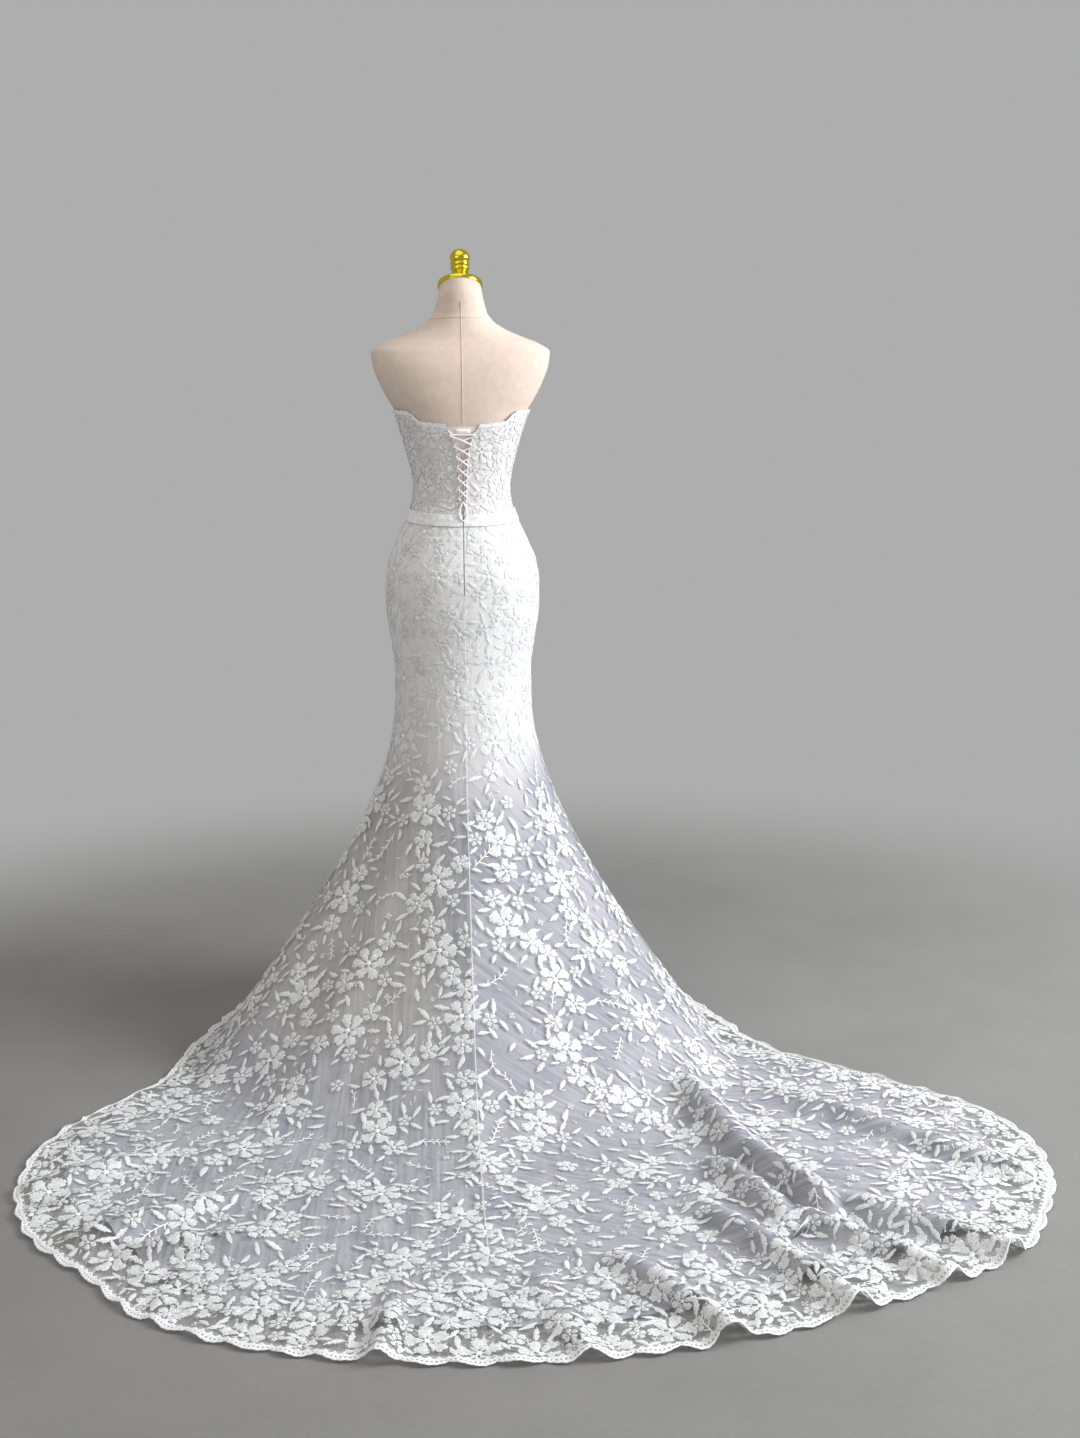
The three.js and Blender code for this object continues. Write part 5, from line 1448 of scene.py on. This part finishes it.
class GOWN_OT_hem(bpy.types.Operator):
    """Builds the scalloped, corded border along the hem and the skirt's seams"""

    bl_idname = "gown.hem"
    bl_label = "Hem border and seams"

    def execute(self, context):
        paint, skirt = materials(), sheets()["skirt"]
        cloth, cord = skirt["net"], context.scene.gown_sizes.edge_cord
        last = cloth.size[1] - 1
        for name, run in skirt_panels().items():
            edge = cloth.points[run, last]
            length = np.concatenate([[0], np.cumsum(np.linalg.norm(np.diff(edge, axis=0), axis=1))])
            count = max(1, round(length[-1] / (HEM_PITCH * MM)))
            at = np.linspace(0, length[-1], int(length[-1] / 0.0024))
            unrolled = run if name != "front" else np.where(run < run[0], run + cloth.size[0] - 1, run)
            i = np.interp(at, length, unrolled)
            phase = at / length[-1] * count
            wave = np.abs(np.sin(math.pi * phase))
            nibs = 1.3 * np.abs(np.sin(math.pi * phase * 6))
            out = (HEM_DEPTH * (wave - 0.5) + nibs) * MM
            across = np.array([-1.12, -0.75, -0.45, -0.22, -0.13, -0.06, 0.0])
            high = np.array([0.0, 0.25, 0.25, 0.3, 1.0, 1.0, 0.0]) * cord
            reach = out[:, None] + across[None, :] * (HEM_WIDTH * MM + out[:, None])
            grid_i = np.broadcast_to(i[:, None], reach.shape)
            step = np.linalg.norm(cloth.read(cloth.down, grid_i, np.full(reach.shape, last - 1.0)), axis=-1)
            j = last + reach / step
            loops = 0.5 + 0.5 * np.cos(2 * math.pi * phase * 12)[:, None]
            height = high[None, :] * (1 + 0.25 * loops) + 0.0007
            points = cloth.lift(grid_i, j, height)
            points[..., 2] = np.maximum(points[..., 2], 0.0004)
            share = (across - across[0]) / (across[-1] - across[0])
            places = np.stack(np.broadcast_arrays(phase[:, None], share[None, :]), axis=-1)
            piece = mesh_piece(f"hem_border_{name}_lace", points.reshape(-1, 3), quads(*reach.shape),
                               paint["border"], places.reshape(-1, 2))
            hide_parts(f"hem_border_{name}")
        self.seams(paint, cloth, last)
        for name in skirt_panels():
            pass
        return {"FINISHED"}

    def seams(self, paint, cloth, last):
        """Narrow fells over the centre back and side seams."""
        panels = skirt_panels()
        strips = []
        middle = panels["back_left"][0]
        zip_end = np.argmin(np.abs(cloth.points[middle, :, 2] - ZIP_BOTTOM_Z * MM))
        for column in (middle, panels["back_left"][-1], panels["back_right"][0]):
            ends = (zip_end, last * 0.86) if column == middle else (2, last - 1)
            rows = np.linspace(*ends, 260)
            line = []
            for shift, height in SEAM_FELL:
                i, j = cloth.walk(np.full(260, float(column)), rows, np.full(260, shift), np.zeros(260), 2)
                line.append(cloth.lift(i, j, np.full(260, height + 0.0004)))
            strips.append(np.stack(line))
        points = np.concatenate([s.reshape(-1, 3) for s in strips])
        faces = np.concatenate([quads(5, 260) + k * 5 * 260 for k in range(len(strips))])
        piece = mesh_piece("skirt_seams", points, faces, paint["ground"], np.zeros((len(points), 2)))


class GOWN_OT_bodice(bpy.types.Operator):
    """Builds the bodice: net, nude lining, close lace and its scalloped top edge"""

    bl_idname = "gown.bodice"
    bl_label = "Bodice"

    def execute(self, context):
        paint, bodice = materials(), sheets()["bodice"]
        end = bodice["turn"].shape[0] - 1
        quarter, far = end // 4, 3 * end // 4
        runs = {"back_left": (0, quarter), "front": (quarter, far), "back_right": (far, end)}
        for name, (low, high) in runs.items():
            net = bodice["net"].points[low : high + 1][::2, ::2]
            ground = grid_piece(f"bodice_net_{name}", net, paint["ground"])
            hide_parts(f"bodice_{name}")
            lining = bodice["lining"].points[low : high + 1][::2, ::2]
            under = grid_piece(f"bodice_nude_{name}", lining, paint["nude"])
            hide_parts(f"bodice_lining_{name}")
            edge = self.edging(bodice["net"], low, high)
            trim = grid_piece(f"neck_edging_{name}_lace", edge, paint["lace"])
            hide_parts(f"neck_edging_{name}")
        self.lace(bodice["lace"], quarter, far)
        return {"FINISHED"}

    def edging(self, cloth, low, high):
        """Small scallops with a corded rim along the top."""
        edge = cloth.points[low : high + 1, 0]
        length = np.concatenate([[0], np.cumsum(np.linalg.norm(np.diff(edge, axis=0), axis=1))])
        count = max(1, round(length[-1] / (NECK_PITCH * MM)))
        at = np.linspace(0, length[-1], int(length[-1] / 0.0012))
        i = np.interp(at, length, np.arange(low, high + 1))
        phase = at / length[-1] * count
        wave = np.abs(np.sin(math.pi * phase))
        lash = np.abs(np.sin(math.pi * phase * 7))
        up = (NECK_WIDTH + NECK_DEPTH * (wave - 0.5) + 1.2 * lash) * MM
        share = np.array([1.0, 0.93, 0.84, 0.7, 0.4, 0.0, -0.35])
        raised = np.array([0.0, 1.3, 1.3, 0.4, 0.3, 0.3, 0.0]) * MM
        grid_i = np.broadcast_to(i[:, None], (len(i), len(share)))
        step = np.linalg.norm(cloth.read(cloth.down, grid_i, np.ones(grid_i.shape)), axis=-1)
        j = -(up[:, None] * share[None, :]) / step
        return cloth.lift(grid_i, j, np.broadcast_to(raised[None, :] + 0.0008, grid_i.shape))

    def lace(self, cloth, quarter, far):
        """Close lace motifs over the whole bodice."""
        last = cloth.size[1] - 1

        def allowed(i, j):
            return (i > 1) & (i < cloth.size[0] - 2) & (j > 0) & (j < last)

        def inside(i, j):
            return (i >= 0.4) & (i <= cloth.size[0] - 1.4) & (j >= -1.2) & (j <= last - 0.5)

        lay = Layout(cloth, allowed, lambda i, j: np.full(len(i), 0.62),
                     lambda i, j: np.full(len(i), 0.66), 34)
        lay.sprays(98)
        lay.fill("bloom", 2600, 1.3, 0.8, 1.0)
        lay.fill("floret", 4000, 1.25)
        lay.fill("sprig", 5000, 1.2)
        lay.fill("leaf", 9000, 1.2, 0.7, 1.0)
        lay.fill("bud", 9000, 1.4)
        parts = {
            "back_left": lambda i, j: i < quarter,
            "front": lambda i, j: (i >= quarter) & (i < far),
            "back_right": lambda i, j: i >= far,
        }
        def torn(corners):
            return np.zeros(len(corners), bool)

        for name, (points, faces, places) in lay.meshes(parts, inside, torn).items():
            piece = mesh_piece(f"bodice_lace_{name}", points, faces, materials()["close"], places)


class GOWN_OT_waistband(bpy.types.Operator):
    """Builds the satin waistband, open at the centre back"""

    bl_idname = "gown.waistband"
    bl_label = "Waistband"

    def execute(self, context):
        turn = np.linspace(0.35, 359.65, 300)[:, None]
        down = np.array([-12, -12.2, -11.4, -9, -4, 0, 4, 9, 11.4, 12.2, 12])[None, :]
        out = np.array([0, 0.6, 1.15, 1.0, 1.2, 1.3, 1.2, 1.0, 1.15, 0.6, 0])[None, :]
        z = waist_z(turn) - down
        tuck = 0.25 * np.sin(np.radians(turn) * 9 + down / 3)
        points = off_skin(turn + 0 * z, z, BAND_OFF + out + tuck) * MM
        piece = grid_piece("waist_satin", points, materials()["band"])
        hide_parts("waistband")
        return {"FINISHED"}


class GOWN_OT_closure(bpy.types.Operator):
    """Builds the modesty panel, the loops, the lacing cord, its hanging loop and the zip"""

    bl_idname = "gown.closure"
    bl_label = "Laced closure"

    def execute(self, context):
        paint = materials()
        radius = context.scene.gown_sizes.cord_radius
        self.panel(paint)
        self.loops(paint)
        self.lacing(paint, radius)
        self.zip(paint)
        return {"FINISHED"}

    def panel(self, paint):
        z = np.linspace(PANEL_TOP_Z, PANEL_BOTTOM_Z, 90)[None, :]
        share = np.linspace(-1, 1, 25)[:, None]
        x = share * (along(OPENING, "z", "half", z) + 11)
        creases = 0.35 * np.sin(z / 5.5 + share * 2)
        points = off_skin(turn_at(x, z), z + 0 * x, MODESTY_OFF + 1 + creases) * MM
        rise = np.linspace(-1, 1, 13)[None, :]
        rolled = BAR_ROLL * np.sqrt(1 - rise**2) * (1 - share**8)
        level = BAR_Z + BAR_RISE * rise + 0 * share
        fold = off_skin(turn_at(share * BAR_HALF, level), level, MODESTY_OFF + 1.4 + rolled)
        grid_piece("modesty_bar", fold * MM, paint["satin"])
        piece = grid_piece("modesty_satin", points, paint["nude"])
        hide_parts("modesty_panel")

    def loops(self, paint):
        for side, name in ((1, "left"), (-1, "right")):
            lines = []
            edges = np.linspace(LOOPS_BOTTOM_Z, LOOPS_TOP_Z, LOOP_COUNT + 1)
            for low, high in zip(edges[:-1], edges[1:]):
                z = np.linspace(low + 1.2, high - 1.2, 5)
                reach = 3 + 2.4 * np.sin(np.linspace(0, math.pi, 5))
                x = side * np.maximum(along(OPENING, "z", "half", z) - reach + 1.5, 0.9)
                x[[0, -1]] = side * (along(OPENING, "z", "half", z[[0, -1]]) + 1.5)
                lines.append(smooth_line(off_skin(turn_at(x, z), z, 5.2) * MM, 6))
            z = np.linspace(1131, 1291, 60)
            x = side * (along(OPENING, "z", "half", z) + 0.2)
            lines.append(off_skin(turn_at(x, z), z, 5.4) * MM)
            piece = tubes_piece(f"loops_{name}", lines, LOOP_RADIUS, paint["cord"], sides=7)
            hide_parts(f"loop_tape_{name}")

    def lacing(self, paint, radius):
        levels = np.linspace(LACING_BOTTOM_Z, LACING_TOP_Z, LACING_CROSSINGS + 1)

        def corner(z, side):
            x = side * (along(OPENING, "z", "half", z) + LACING_REACH)
            return off_skin(turn_at(x, z), z, LACING_CORNER)

        def strand(start, first):
            points = []
            for k, z in enumerate(levels):
                points.append(corner(z, start if k % 2 == 0 else -start))
                if k < len(levels) - 1:
                    out = LACING_LOWER if (k + first) % 2 == 0 else LACING_HIGHER
                    points.append(off_skin(0.0, (z + levels[k + 1]) / 2, out))
            return points

        def tail(side):
            return off_skin(turn_at(side * 3.8, 1147.0), 1147.0, LACING_CORNER)

        points = np.array([tail(1), *strand(1, 0), *strand(-1, 1)[::-1], tail(-1)]) * MM
        cord = tubes_piece("lacing_satin_cord", [smooth_line(points, 9)], radius, paint["cord"], 10)
        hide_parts("lacing_cord")
        angle = np.linspace(0, 2 * math.pi, 10, endpoint=False)
        rise = np.cos(angle)
        wide = 7.5 * np.sin(angle) * np.where(rise > 0, 1 - 0.6 * rise, 1)
        z = 1124.5 + 18.5 * rise
        line = smooth_line(off_skin(turn_at(wide, z), z, 10.2) * MM, 6, closed=True)
        loop = tubes_piece("lacing_tied_loop", [line], TIED_RADIUS, paint["cord"], 10, closed=True)
        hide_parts("lacing_drop_loop")

    def zip(self, paint):
        # The tape's darkened satin is painted shade for the slit at the centre back.
        z = np.linspace(ZIP_TOP_Z, ZIP_BOTTOM_Z, 80)[None, :]
        x = np.array([-4, -2, -0.9, 0, 0.9, 2, 4])[:, None]
        teeth = 0.5 * bell(x, 1.2) * (0.6 + 0.4 * np.sin(z * 3.2))
        points = off_skin(turn_at(x + 0 * z, z), z + 0 * x, MODESTY_OFF + 0.5 + teeth) * MM
        piece = grid_piece("zip_tape", points, paint["zip"])
        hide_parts("zip")


PIECES = (
    GOWN_OT_camera, GOWN_OT_stage, GOWN_OT_form, GOWN_OT_skirt_cloth, GOWN_OT_skirt_lace,
    GOWN_OT_hem, GOWN_OT_bodice, GOWN_OT_waistband, GOWN_OT_closure,
)


class GOWN_PT_panel(bpy.types.Panel):
    """Lists the gown's pieces and settings"""

    bl_idname = "GOWN_PT_panel"
    bl_label = "Lace mermaid gown"
    bl_space_type = "VIEW_3D"
    bl_region_type = "UI"
    bl_category = "Gown"

    def draw(self, context):
        for group in (context.scene.gown_sizes, context.scene.gown_colours, context.scene.gown_studio):
            for key in group.__annotations__:
                self.layout.prop(group, key)
        for piece in PIECES:
            self.layout.operator(piece.bl_idname)


CLASSES = (GownSizes, GownColours, StudioSettings, *PIECES, GOWN_PT_panel)


def register():
    for cls in CLASSES:
        bpy.utils.register_class(cls)
    bpy.types.Scene.gown_sizes = bpy.props.PointerProperty(type=GownSizes)
    bpy.types.Scene.gown_colours = bpy.props.PointerProperty(type=GownColours)
    bpy.types.Scene.gown_studio = bpy.props.PointerProperty(type=StudioSettings)


def unregister():
    del bpy.types.Scene.gown_studio
    del bpy.types.Scene.gown_colours
    del bpy.types.Scene.gown_sizes
    for cls in reversed(CLASSES):
        bpy.utils.unregister_class(cls)


def main():
    """Builds the gown piece by piece."""
    register()
    for piece in PIECES:
        group, name = piece.bl_idname.split(".")
        getattr(getattr(bpy.ops, group), name)()


if __name__ == "__main__":
    main()
